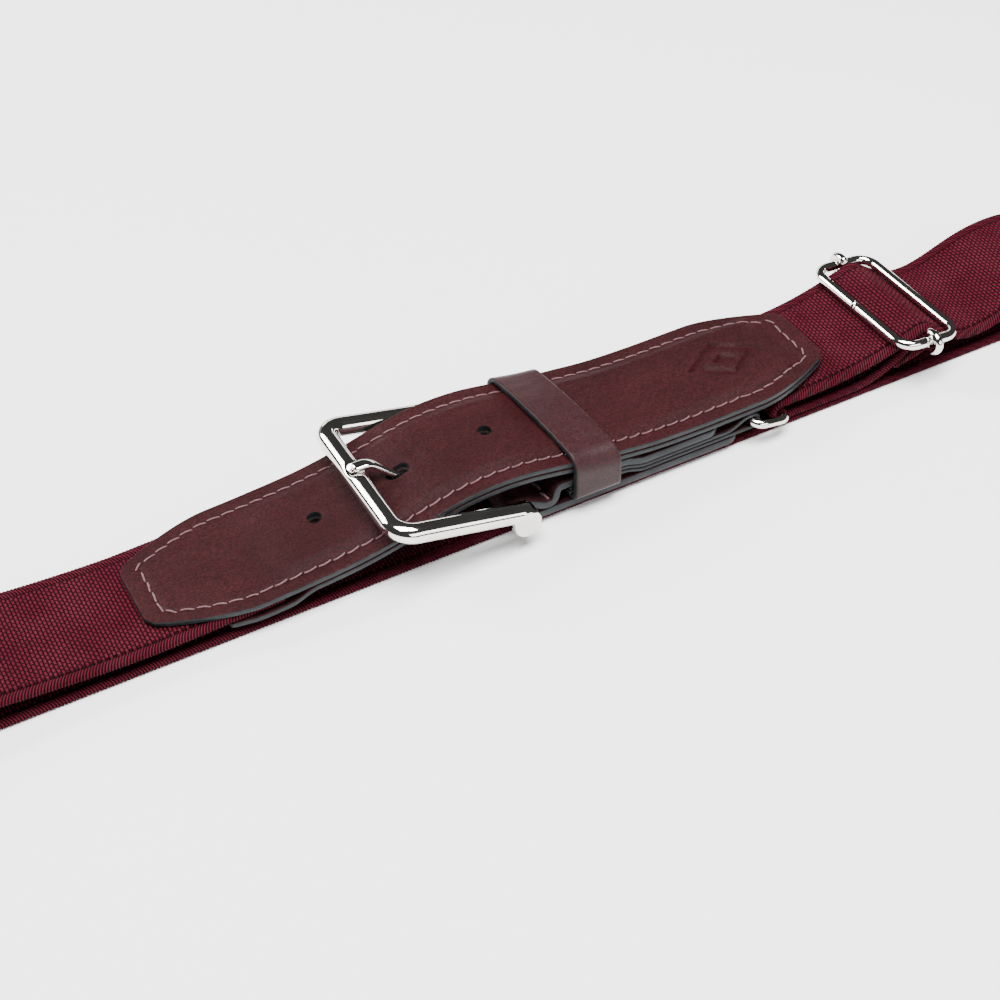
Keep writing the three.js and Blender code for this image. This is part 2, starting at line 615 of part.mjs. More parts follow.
/** The prong: an eye round the pivot bar, a shank under the billet, and a tip on the front bar. */
function buckleProng() {
  const eye = PIVOT_RADIUS + GAP + PRONG_THICKNESS / 2;
  const rest = frontZ + FRAME_HEIGHT / 2 - NOTCH_DEPTH + GAP + PRONG_THICKNESS / 2;
  const route = new THREE.Path();
  route.absarc(pivotX, pivotZ, eye, -150 * DEG, 90 * DEG, false);
  const bend = prongHoleX + 7;
  route.lineTo(bend, pivotZ + eye - PRONG_DROOP);
  const rise = new THREE.Vector2(prongHoleX - 1.4, bed(prongHoleX) + UPPER_PLY);
  route.bezierCurveTo(bend - 5, pivotZ + eye - PRONG_DROOP, rise.x + 1.8, rise.y - 4.6, rise.x, rise.y);
  route.bezierCurveTo(rise.x - 2, rise.y + 2.6, frontX + 6, rest, frontX + 3, rest);
  route.lineTo(frontX - 0.6, rest);
  const line = route.getPoints(8);
  const drift = (x) => PRONG_DRIFT * (1 - smooth(x, frontX + 2, rise.x + 1.5));
  const points = line.map((p) => new THREE.Vector3(p.x, drift(p.x), p.y));
  return bar(points, new THREE.Vector3(0, 1, 0), PRONG_THICKNESS, PRONG_WIDTH, { sides: 8 });
}

// ---------------------------------------------------------------------------------------------
// Ring and slide
// ---------------------------------------------------------------------------------------------

/** A closed wire rectangle whose two long bars run across the belt. */
function wireLoop(left, right, halfWidth, wire, corner) {
  const middle = left.clone().add(right).multiplyScalar(0.5);
  const along = right.clone().sub(left);
  const span = along.length();
  along.normalize();
  const points = roundedRectangle(span / 2, halfWidth, corner, 4).map((p) => new THREE.Vector3(
    middle.x + p.x * along.x, p.y, middle.y + p.x * along.y));
  return bar(points, new THREE.Vector3(-along.y, 0, along.x), wire, wire, { closed: true });
}

function tabRing() {
  const half = billetHalf + 2 * GAP + ringRadius;
  return wireLoop(
    new THREE.Vector2(ringX, ringZ), new THREE.Vector2(ringStrapX, ringStrapZ), half, RING_WIRE, 3);
}

const slideHalf = STRAP_WIDTH / 2 + WIRE_CLEARANCE + slideRadius;

function slideFrame() {
  return wireLoop(slideLeft, slideRight, slideHalf, SLIDE_WIRE, SLIDE_CORNER);
}

/** The slide's centre bar, with an eye curled up round each end wire of the frame. */
function slideCentreBar() {
  const curl = slideRadius + GAP + centreRadius;
  const turns = Array.from({ length: 9 }, (_, i) => (-90 + (220 * i) / 8) * DEG);
  const eye = turns.map((a) => new THREE.Vector3(
    SLIDE_X, slideHalf + curl * Math.cos(a), slideFrameZ + curl * Math.sin(a)));
  const mirrored = eye.map((p) => new THREE.Vector3(p.x, -p.y, p.z)).reverse();
  return bar([...mirrored, ...eye], new THREE.Vector3(1, 0, 0), CENTRE_WIRE, CENTRE_WIRE);
}

// ---------------------------------------------------------------------------------------------
// The assembly
// ---------------------------------------------------------------------------------------------

const belt = new THREE.Group();

/** Adds a named piece to the belt. */
function add(name, geometry, color, roughness, metalness = 0) {
  const mesh = new THREE.Mesh(geometry, new THREE.MeshStandardMaterial({ color, roughness, metalness }));
  mesh.name = name;
  belt.add(mesh);
}

const WEBBING = 0x5e2430;
const LEATHER = 0x4f2f31;
const KEEPER = 0x6b4247;
const THREAD_COLOR = 0x8a5058;
const NICKEL = 0xc9c6c0;

add('strap_webbing', strapWebbing(), WEBBING, 0.9);
add('strap_end_stitching', strapEndStitching(), THREAD_COLOR, 0.8);
add('billet_upper', billetUpper(), LEATHER, 0.5);
add('billet_filler', billetFiller(), 0x8c7a66, 0.9);
add('billet_lining', billetLining(), LEATHER, 0.6);
add('billet_stitching', billetStitching(), THREAD_COLOR, 0.8);
add('chape', chape(), LEATHER, 0.55);
add('crease_stitching', crossStitching(creaseX, creaseMid + CHAPE_PLY / 2), THREAD_COLOR, 0.8);
add('ring_tab', ringTab(), LEATHER, 0.6);
add('keeper_loop', keeperLoop(), KEEPER, 0.45);
add('buckle_frame', buckleFrame(), NICKEL, 0.12, 1);
add('buckle_bar', buckleBar(), NICKEL, 0.2, 1);
add('buckle_prong', buckleProng(), NICKEL, 0.12, 1);
add('tab_ring', tabRing(), NICKEL, 0.15, 1);
add('slide_frame', slideFrame(), NICKEL, 0.15, 1);
add('slide_centre_bar', slideCentreBar(), NICKEL, 0.15, 1);

export default belt;
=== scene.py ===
"""Looks of an adjustable webbing belt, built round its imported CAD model.

Lengths in the classes below are millimetres in the belt's own frame: X along the belt, Y across
it, Z up, with the table at zero. Meshes are scaled to metres as they are made.
"""

import json
import logging
import math
from dataclasses import dataclass, field
from enum import Enum
from typing import Callable, Sequence

import bpy
import numpy as np
from mathutils import Matrix, Vector

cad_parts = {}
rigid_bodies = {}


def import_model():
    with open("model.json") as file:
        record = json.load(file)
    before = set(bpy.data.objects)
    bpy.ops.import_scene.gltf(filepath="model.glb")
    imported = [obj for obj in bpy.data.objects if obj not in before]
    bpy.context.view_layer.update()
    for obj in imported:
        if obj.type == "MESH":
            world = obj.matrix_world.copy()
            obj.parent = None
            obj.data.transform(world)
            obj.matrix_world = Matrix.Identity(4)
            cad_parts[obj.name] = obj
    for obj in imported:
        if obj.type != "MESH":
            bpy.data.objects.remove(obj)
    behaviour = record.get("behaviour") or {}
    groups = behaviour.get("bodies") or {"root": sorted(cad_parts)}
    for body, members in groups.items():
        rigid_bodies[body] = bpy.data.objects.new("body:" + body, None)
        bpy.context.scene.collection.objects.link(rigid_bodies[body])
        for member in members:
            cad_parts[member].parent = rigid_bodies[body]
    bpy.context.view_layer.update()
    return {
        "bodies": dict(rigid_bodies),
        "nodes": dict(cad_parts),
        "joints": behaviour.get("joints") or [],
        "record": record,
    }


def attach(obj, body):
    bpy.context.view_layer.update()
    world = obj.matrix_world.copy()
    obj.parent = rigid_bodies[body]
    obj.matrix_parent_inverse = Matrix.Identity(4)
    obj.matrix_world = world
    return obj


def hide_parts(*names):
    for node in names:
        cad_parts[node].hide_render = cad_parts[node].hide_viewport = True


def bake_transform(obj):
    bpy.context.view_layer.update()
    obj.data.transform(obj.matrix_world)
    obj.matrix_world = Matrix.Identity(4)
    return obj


log = logging.getLogger("belt")

MM = 0.001
Colour = tuple[float, float, float]
Point2 = tuple[float, float]


class Body(Enum):
    """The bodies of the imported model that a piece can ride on."""

    BELT = "belt"
    BUCKLE = "buckle"
    PRONG = "prong"
    KEEPER = "keeper"
    RING = "ring"
    SLIDE = "slide"


class End(Enum):
    """How the two ends of a strip are cut."""

    SQUARE = "square"
    ROUNDED = "rounded"


# ---------------------------------------------------------------------------------------------
# Small mathematics
# ---------------------------------------------------------------------------------------------


def smooth(value: np.ndarray | float, low: float, high: float) -> np.ndarray:
    """Ease from 0 at low to 1 at high.

    Args:
        value: What is looked up.
        low: Where the rise begins.
        high: Where the rise ends.

    Returns:
        The eased share, from 0 to 1.
    """
    t = np.clip((np.asarray(value, float) - low) / (high - low), 0, 1)
    return t * t * (3 - 2 * t)


def ridge(distance: np.ndarray | float, width: float) -> np.ndarray:
    """A bell of height 1 that falls away on both sides of zero distance.

    Args:
        distance: Distance from the middle.
        width: Distance at which the bell has fallen to about a third.

    Returns:
        The height, from 0 to 1.
    """
    return np.exp(-((np.asarray(distance, float) / width) ** 2))


class Route:
    """A line in the XZ plane made of straight runs, arcs and Bezier curves."""

    def __init__(self, x: float, z: float) -> None:
        """Start the line at a point."""
        self.points: list[Point2] = [(x, z)]

    def line(self, x: float, z: float) -> "Route":
        """Run straight to a point and return the route."""
        self.points.append((x, z))
        return self

    def bezier(self, a: Point2, b: Point2, end: Point2, steps: int = 24) -> "Route":
        """Curve to a point.

        Args:
            a: First control point.
            b: Second control point.
            end: Where the curve ends.
            steps: Number of pieces it is drawn in.

        Returns:
            The route itself.
        """
        start = self.points[-1]
        for i in range(1, steps + 1):
            t = i / steps
            u = 1 - t
            w = (u**3, 3 * u * u * t, 3 * u * t * t, t**3)
            self.points.append(
                tuple(w[0] * start[k] + w[1] * a[k] + w[2] * b[k] + w[3] * end[k] for k in (0, 1))
            )
        return self

    def arc(self, centre: Point2, radius: float, start: float, end: float, steps: int = 24) -> "Route":
        """Follow an arc, after a straight run to its start.

        Args:
            centre: Middle of the arc.
            radius: Its radius.
            start: Angle it starts at, in radians.
            end: Angle it ends at, in radians.
            steps: Number of pieces it is drawn in.

        Returns:
            The route itself.
        """
        for i in range(steps + 1):
            turn = start + (end - start) * i / steps
            self.points.append((centre[0] + radius * math.cos(turn), centre[1] + radius * math.sin(turn)))
        return self

    def array(self) -> np.ndarray:
        """Return the points as an array, without repeated ones.

        Returns:
            The points, one row each.
        """
        points = np.array(self.points, float)
        step = np.linalg.norm(np.diff(points, axis=0), axis=1)
        return points[np.concatenate([[True], step > 1e-6])]


def resampled(line: np.ndarray, spacing: float) -> tuple[np.ndarray, np.ndarray]:
    """Lay evenly spaced points on a polyline.

    Args:
        line: Points of the polyline.
        spacing: Wanted distance between the new points.

    Returns:
        The new points, and their distances along the line.
    """
    along = np.concatenate([[0], np.cumsum(np.linalg.norm(np.diff(line, axis=0), axis=1))])
    count = max(2, int(round(along[-1] / spacing)) + 1)
    at = np.linspace(0, along[-1], count)
    return np.stack([np.interp(at, along, line[:, k]) for k in range(line.shape[1])], 1), at


def left_normals(line: np.ndarray) -> np.ndarray:
    """Return unit normals of a plane polyline, a quarter turn anticlockwise from its direction.

    Args:
        line: The polyline's points, one row each.

    Returns:
        One normal for each point.
    """
    along = np.gradient(line, axis=0)
    along /= np.linalg.norm(along, axis=1, keepdims=True)
    return np.stack([-along[:, 1], along[:, 0]], 1)


# ---------------------------------------------------------------------------------------------
# Meshes
# ---------------------------------------------------------------------------------------------


def make_object(
    name: str,
    points: np.ndarray,
    faces: Sequence[Sequence[int]],
    finishes: Sequence[bpy.types.Material] = (),
    finish_of_face: Sequence[int] | None = None,
    uv: np.ndarray | None = None,
    sharp: float = 40.0,
) -> bpy.types.Object:
    """Make a smooth-shaded mesh object at the origin, scaled from millimetres to metres.

    Args:
        name: Name of the piece.
        points: Corner positions in millimetres.
        faces: Corner indices of each face.
        finishes: Materials, in slot order.
        finish_of_face: Slot of each face, or None for the first slot.
        uv: A plane coordinate for each corner, or None.
        sharp: Edges that turn by more degrees than this stay sharp.

    Returns:
        The object, linked to the scene.
    """
    mesh = bpy.data.meshes.new(name)
    mesh.from_pydata((np.asarray(points) * MM).tolist(), [], faces)
    for finish in finishes:
        mesh.materials.append(finish)
    if finish_of_face is not None:
        mesh.polygons.foreach_set("material_index", np.asarray(finish_of_face, np.int32))
    if uv is not None:
        layer = mesh.uv_layers.new(name="weave")
        index = np.zeros(len(mesh.loops), np.int32)
        mesh.loops.foreach_get("vertex_index", index)
        layer.data.foreach_set("uv", uv[index].astype(np.float32).ravel())
    mesh.validate()
    mesh.shade_smooth()
    mesh.set_sharp_from_angle(angle=math.radians(sharp))
    thing = bpy.data.objects.new(name, mesh)
    bpy.context.scene.collection.objects.link(thing)
    return thing


def tube_faces(ring_count: int, n: int, closed: bool) -> list[tuple[int, ...]]:
    """List the faces that join rings of equal corner count.

    Args:
        ring_count: Number of rings.
        n: Corners in each ring.
        closed: Whether the last ring joins the first.

    Returns:
        Side quads, ring after ring, then the two end caps of an open tube.
    """
    a = np.arange(ring_count if closed else ring_count - 1)[:, None] * n
    b = ((a // n + 1) % ring_count) * n
    j = np.arange(n)[None, :]
    k = (j + 1) % n
    faces = np.stack([a + j, b + j, b + k, a + k], -1).reshape(-1, 4).tolist()
    if not closed:
        faces.append(list(range(n)))
        faces.append(list(range((ring_count - 1) * n, ring_count * n))[::-1])
    return faces


def outward(thing: bpy.types.Object) -> bpy.types.Object:
    """Turn the faces of a closed mesh outwards if its signed volume is negative, and return it.

    Args:
        thing: The mesh object.

    Returns:
        The same object.
    """
    mesh = thing.data
    mesh.calc_loop_triangles()
    points = np.array([v.co for v in mesh.vertices], float)
    corners = np.zeros(len(mesh.loop_triangles) * 3, np.int32)
    mesh.loop_triangles.foreach_get("vertices", corners)
    a, b, c = (points[corners[k::3]] for k in (0, 1, 2))
    if np.einsum("ij,ij->i", a, np.cross(b, c)).sum() < 0:
        mesh.flip_normals()
    return thing


def evaluated(thing: bpy.types.Object, name: str) -> bpy.types.Object:
    """Replace an object by a plain mesh with its modifiers applied.

    Args:
        thing: Object with live modifiers; it is removed.
        name: Name of the new object.

    Returns:
        The plain mesh object.
    """
    bpy.context.view_layer.update()
    graph = bpy.context.evaluated_depsgraph_get()
    mesh = bpy.data.meshes.new_from_object(thing.evaluated_get(graph), depsgraph=graph)
    bpy.data.objects.remove(thing)
    mesh.name = name
    result = bpy.data.objects.new(name, mesh)
    bpy.context.scene.collection.objects.link(result)
    return result


def carved(thing: bpy.types.Object, cutters: Sequence[bpy.types.Object]) -> bpy.types.Object:
    """Cut other meshes out of one.

    Args:
        thing: The blank.
        cutters: What is cut away; they are removed.

    Returns:
        The cut piece, under the blank's name.
    """
    name = thing.name
    thing.name = name + "_blank"
    for cutter in cutters:
        modifier = thing.modifiers.new("cut", "BOOLEAN")
        modifier.operation = "DIFFERENCE"
        modifier.solver = "EXACT"
        modifier.object = cutter
    result = evaluated(thing, name)
    for cutter in cutters:
        bpy.data.objects.remove(cutter)
    result.data.shade_smooth()
    result.data.set_sharp_from_angle(angle=math.radians(40))
    return result


def upright_cutter(name: str, outline: np.ndarray, low: float, high: float, finish_slot: int,
                   finishes: Sequence[bpy.types.Material]) -> bpy.types.Object:
    """Make an upright prism to cut with.

    Args:
        name: Name of the cutter.
        outline: Its outline in the XY plane.
        low: Height of its foot.
        high: Height of its top.
        finish_slot: Slot that the cut walls take.
        finishes: Materials, in the same order as the blank's.

    Returns:
        The cutter.
    """
    rings = [np.column_stack([outline, np.full(len(outline), z)]) for z in (low, high)]
    faces = tube_faces(2, len(outline), False)
    cutter = make_object(name, np.concatenate(rings), faces, finishes, [finish_slot] * len(faces))
    return outward(cutter)


def slot_outline(x: float, y: float, length: float, width: float, steps: int = 20) -> np.ndarray:
    """Return the outline of a round-ended slot along X, or of a circle if length equals width.

    Args:
        x: The middle along X.
        y: The middle across.
        length: Its full length.
        width: Its full width.
        steps: Points round each end.

    Returns:
        The outline's points, anticlockwise.
    """
    reach = (length - width) / 2
    turns = np.linspace(-math.pi / 2, math.pi / 2, steps)
    right = np.column_stack([x + reach + width / 2 * np.cos(turns), y + width / 2 * np.sin(turns)])
    left = np.column_stack([x - reach - width / 2 * np.cos(turns), y - width / 2 * np.sin(turns)])
    return np.concatenate([right, left])


def dress(thing: bpy.types.Object, body: Body, slot: str, *stands_for: str) -> bpy.types.Object:
    """Make a finished piece ride on its body and stand for its CAD nodes.

    Args:
        thing: The finished piece.
        body: Body it rides on.
        slot: Material slot of the record.
        *stands_for: CAD nodes it replaces.

    Returns:
        The piece.
    """
    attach(thing, body.value)
    return note(thing, slot, *stands_for)


def note(thing: bpy.types.Object, slot: str, *stands_for: str) -> bpy.types.Object:
    """Hide the CAD nodes that a piece replaces, report the piece and return it.

    Args:
        thing: The piece.
        slot: Its material slot; not used.
        stands_for: The nodes it replaces.

    Returns:
        The same piece.
    """
    if stands_for:
        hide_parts(*stands_for)
    log.info("%s: %d faces, for %s", thing.name, len(thing.data.polygons), ", ".join(stands_for))
    return thing


# ---------------------------------------------------------------------------------------------
# Geometry node trees
# ---------------------------------------------------------------------------------------------


class Tree:
    """A geometry node tree with named inputs, ending in Realize Instances and Set Material."""

    def __init__(self, name: str) -> None:
        """Make an empty tree with a geometry input and output.

        Args:
            name: The tree's name.
        """
        self.group = bpy.data.node_groups.new(name, "GeometryNodeTree")
        face = self.group.interface
        face.new_socket(name="Geometry", in_out="INPUT", socket_type="NodeSocketGeometry")
        face.new_socket(name="Geometry", in_out="OUTPUT", socket_type="NodeSocketGeometry")
        self.source = self.group.nodes.new("NodeGroupInput")
        self.sink = self.group.nodes.new("NodeGroupOutput")

    def input(self, name: str, kind: str) -> bpy.types.NodeSocket:
        """Add a named input of a socket kind and return the socket that carries it."""
        self.group.interface.new_socket(name=name, in_out="INPUT", socket_type=kind)
        return self.source.outputs[name]

    def node(self, kind: str, inputs: dict[str, object] | None = None, **settings: object
             ) -> bpy.types.Node:
        """Add a node.

        Args:
            kind: The node's type.
            inputs: Value or source socket for each input, by identifier.
            **settings: The node's own options.

        Returns:
            The node.
        """
        node = self.group.nodes.new(kind)
        for key, value in settings.items():
            setattr(node, key, value)
        for key, value in (inputs or {}).items():
            socket = next(s for s in node.inputs if s.identifier == key)
            if isinstance(value, bpy.types.NodeSocket):
                self.group.links.new(value, socket)
            else:
                socket.default_value = value
        return node

    def close(self, geometry: bpy.types.NodeSocket, finish: bpy.types.NodeSocket) -> None:
        """End the tree.

        Args:
            geometry: What the tree has made.
            finish: The material it takes.
        """
        real = self.node("GeometryNodeRealizeInstances", {"Geometry": geometry})
        even = self.node("GeometryNodeSetShadeSmooth", {"Geometry": real.outputs[0]})
        dressed = self.node("GeometryNodeSetMaterial", {"Geometry": even.outputs[0], "Material": finish})
        self.group.links.new(dressed.outputs[0], self.sink.inputs[0])

    def apply(self, guide: bpy.types.Object, name: str, values: dict[str, object]) -> bpy.types.Object:
        """Run the tree on a guide and keep the result as a plain mesh.

        Args:
            guide: Object whose mesh the tree reads; it is removed.
            name: Name of the result.
            values: Value of each named input.

        Returns:
            The plain mesh object.
        """
        modifier = guide.modifiers.new("tree", "NODES")
        modifier.node_group = self.group
        for item in self.group.interface.items_tree:
            if item.item_type == "SOCKET" and item.in_out == "INPUT" and item.name in values:
                modifier[item.identifier] = values[item.name]
        return evaluated(guide, name)


def guide_line(name: str, points: np.ndarray, closed: bool, thickness: np.ndarray | None = None
               ) -> bpy.types.Object:
    """Make a mesh of edges only, for a tree to follow.

    Args:
        name: Name of the guide.
        points: Points in millimetres.
        closed: Whether the last point joins the first.
        thickness: A share of full thickness at each point, or None for full.

    Returns:
        The guide.
    """
    count = len(points)
    edges = [(i, (i + 1) % count) for i in range(count if closed else count - 1)]
    mesh = bpy.data.meshes.new(name)
    mesh.from_pydata((points * MM).tolist(), edges, [])
    share = mesh.attributes.new("thickness", "FLOAT", "POINT")
    values = np.ones(count) if thickness is None else thickness
    share.data.foreach_set("value", values.astype(np.float32))
    thing = bpy.data.objects.new(name, mesh)
    bpy.context.scene.collection.objects.link(thing)
    return thing


def wire_tree() -> Tree:
    """Build the tree that turns a guide into a round wire.

    Returns:
        A tree with the inputs Radius, Sides and Finish.
    """
    tree = Tree("round_wire")
    radius = tree.input("Radius", "NodeSocketFloat")
    sides = tree.input("Sides", "NodeSocketInt")
    finish = tree.input("Finish", "NodeSocketMaterial")
    line = tree.node("GeometryNodeMeshToCurve", {"Mesh": tree.source.outputs[0]})
    share = tree.node("GeometryNodeInputNamedAttribute", {"Name": "thickness"}, data_type="FLOAT")
    circle = tree.node("GeometryNodeCurvePrimitiveCircle", {"Resolution": sides, "Radius": radius},
                       mode="RADIUS")
    swept = tree.node("GeometryNodeCurveToMesh", {
        "Curve": line.outputs[0], "Profile Curve": circle.outputs[0],
        "Scale": share.outputs[0], "Fill Caps": True})
    tree.close(swept.outputs[0], finish)
    return tree


def stitch_tree() -> Tree:
    """Build the tree that sews arched stitches along a guide.

    Returns:
        A tree with the inputs Pitch, Length, Thread, Slant, Seed and Finish.
    """
    tree = Tree("stitch_row")
    pitch = tree.input("Pitch", "NodeSocketFloat")
    length = tree.input("Length", "NodeSocketFloat")
    thread = tree.input("Thread", "NodeSocketFloat")
    slant = tree.input("Slant", "NodeSocketFloat")
    seed = tree.input("Seed", "NodeSocketInt")
    finish = tree.input("Finish", "NodeSocketMaterial")

    def scaled(socket: bpy.types.NodeSocket, factor: float) -> bpy.types.NodeSocket:
        """Return a number times a factor."""
        node = tree.node("ShaderNodeMath", {"Value": socket, "Value_001": factor}, operation="MULTIPLY")
        return node.outputs[0]

    def place(x: bpy.types.NodeSocket | float, z: bpy.types.NodeSocket | float) -> bpy.types.NodeSocket:
        """Return a point in the stitch's own XZ plane."""
        return tree.node("ShaderNodeCombineXYZ", {"X": x, "Z": z}).outputs[0]

    sunk = scaled(thread, -0.55)
    arch = tree.node("GeometryNodeCurveQuadraticBezier", {
        "Resolution": 6, "Start": place(scaled(length, -0.5), sunk),
        "Middle": place(0.0, scaled(thread, 0.75)), "End": place(scaled(length, 0.5), sunk)})
    circle = tree.node("GeometryNodeCurvePrimitiveCircle", {
        "Resolution": 7, "Radius": scaled(thread, 0.5)}, mode="RADIUS")
    stitch = tree.node("GeometryNodeCurveToMesh", {
        "Curve": arch.outputs[0], "Profile Curve": circle.outputs[0], "Fill Caps": True})

    line = tree.node("GeometryNodeMeshToCurve", {"Mesh": tree.source.outputs[0]})
    spaced = tree.node("GeometryNodeResampleCurve", {"Curve": line.outputs[0], "Length": pitch},
                       mode="LENGTH")
    tangent = tree.node("GeometryNodeInputTangent")
    aligned = tree.node("FunctionNodeAlignRotationToVector", {"Vector": tangent.outputs[0]}, axis="X")
    jitter = tree.node("FunctionNodeRandomValue", {
        "Min_001": scaled(slant, 0.4), "Max_001": scaled(slant, 1.6), "Seed": seed}, data_type="FLOAT")
    turn = tree.node("ShaderNodeCombineXYZ", {"Z": jitter.outputs[1]})
    euler = tree.node("FunctionNodeEulerToRotation", {"Euler": turn.outputs[0]})
    turned = tree.node("FunctionNodeRotateRotation", {
        "Rotation": aligned.outputs[0], "Rotate By": euler.outputs[0]}, rotation_space="LOCAL")
    sewn = tree.node("GeometryNodeInstanceOnPoints", {
        "Points": spaced.outputs[0], "Instance": stitch.outputs[0], "Rotation": turned.outputs[0]})
    tree.close(sewn.outputs[0], finish)
    return tree


# ---------------------------------------------------------------------------------------------
# Finishes
# ---------------------------------------------------------------------------------------------


class Shader:
    """A material under construction, with short calls for its nodes."""

    def __init__(self, name: str) -> None:
        """Start a material that has only its surface shader.

        Args:
            name: The material's name.
        """
        self.material = bpy.data.materials.new(name)
        self.material.use_nodes = True
        self.tree = self.material.node_tree
        self.surface = next(n for n in self.tree.nodes if n.type == "BSDF_PRINCIPLED")

    def node(self, kind: str, inputs: dict[int | str, object] | None = None, **settings: object
             ) -> bpy.types.Node:
        """Add a node.

        Args:
            kind: The node's type.
            inputs: Value or source socket for each input, by index or name.
            **settings: The node's own options.

        Returns:
            The node.
        """
        node = self.tree.nodes.new(kind)
        for key, value in settings.items():
            setattr(node, key, value)
        for key, value in (inputs or {}).items():
            self.feed(node.inputs[key], value)
        return node

    def feed(self, socket: bpy.types.NodeSocket, value: object) -> None:
        """Link a socket to another, or set its constant.

        Args:
            socket: The input.
            value: A source socket or a constant.
        """
        if isinstance(value, bpy.types.NodeSocket):
            self.tree.links.new(value, socket)
        elif socket.type == "RGBA" and len(value) == 3:
            socket.default_value = (*value, 1.0)
        else:
            socket.default_value = value

    def set(self, **values: object) -> None:
        """Set inputs of the surface shader; underscores stand for spaces."""
        for key, value in values.items():
            self.feed(self.surface.inputs[key.replace("_", " ")], value)

    def math(self, operation: str, a: object, b: object = 0.0) -> bpy.types.NodeSocket:
        """Return the result of an operation on two numbers."""
        return self.node("ShaderNodeMath", {0: a, 1: b}, operation=operation).outputs[0]

    def vector(self, operation: str, a: object, b: object) -> bpy.types.NodeSocket:
        """Return the result of an operation on two vectors."""
        return self.node("ShaderNodeVectorMath", {0: a, 1: b}, operation=operation).outputs[0]

    def mix(self, share: object, a: object, b: object) -> bpy.types.NodeSocket:
        """Return a colour between two, by a share."""
        return self.node("ShaderNodeMix", {0: share, 6: a, 7: b}, data_type="RGBA").outputs[2]

    def blend(self, share: object, a: object, b: object) -> bpy.types.NodeSocket:
        """Return a number between two, by a share."""
        return self.node("ShaderNodeMix", {0: share, 2: a, 3: b}, data_type="FLOAT").outputs[0]

    def ramp(self, value: object, low: float, high: float, to_low: float = 0.0, to_high: float = 1.0
             ) -> bpy.types.NodeSocket:
        """Return a number eased from one range to another."""
        return self.node("ShaderNodeMapRange", {0: value, 1: low, 2: high, 3: to_low, 4: to_high},
                         interpolation_type="SMOOTHSTEP").outputs[0]

    def place(self, scale: Sequence[float] = (1, 1, 1)) -> bpy.types.NodeSocket:
        """Return the place on the object, stretched by a scale on each axis."""
        where = self.node("ShaderNodeTexCoord").outputs["Object"]
        return self.node("ShaderNodeMapping", {"Vector": where, "Scale": tuple(scale)}).outputs[0]

    def noise(self, where: object, scale: float, detail: float = 3.0, roughness: float = 0.5
              ) -> bpy.types.NodeSocket:
        """Return noise at a place."""
        return self.node("ShaderNodeTexNoise", {
            "Vector": where, "Scale": scale, "Detail": detail, "Roughness": roughness}).outputs[0]

    def bump(self, height: object, depth: float, strength: float = 1.0, below: object | None = None
             ) -> bpy.types.NodeSocket:
        """Add relief of a depth in millimetres, over an earlier one if given, and return its normal.

        Args:
            height: The relief, from 0 to 1.
            depth: Its depth.
            strength: How much of it shows.
            below: The normal of the relief under it.

        Returns:
            The normal.
        """
        inputs: dict[int | str, object] = {"Height": height, "Distance": depth * MM, "Strength": strength}
        if below is not None:
            inputs["Normal"] = below
        return self.node("ShaderNodeBump", inputs).outputs[0]


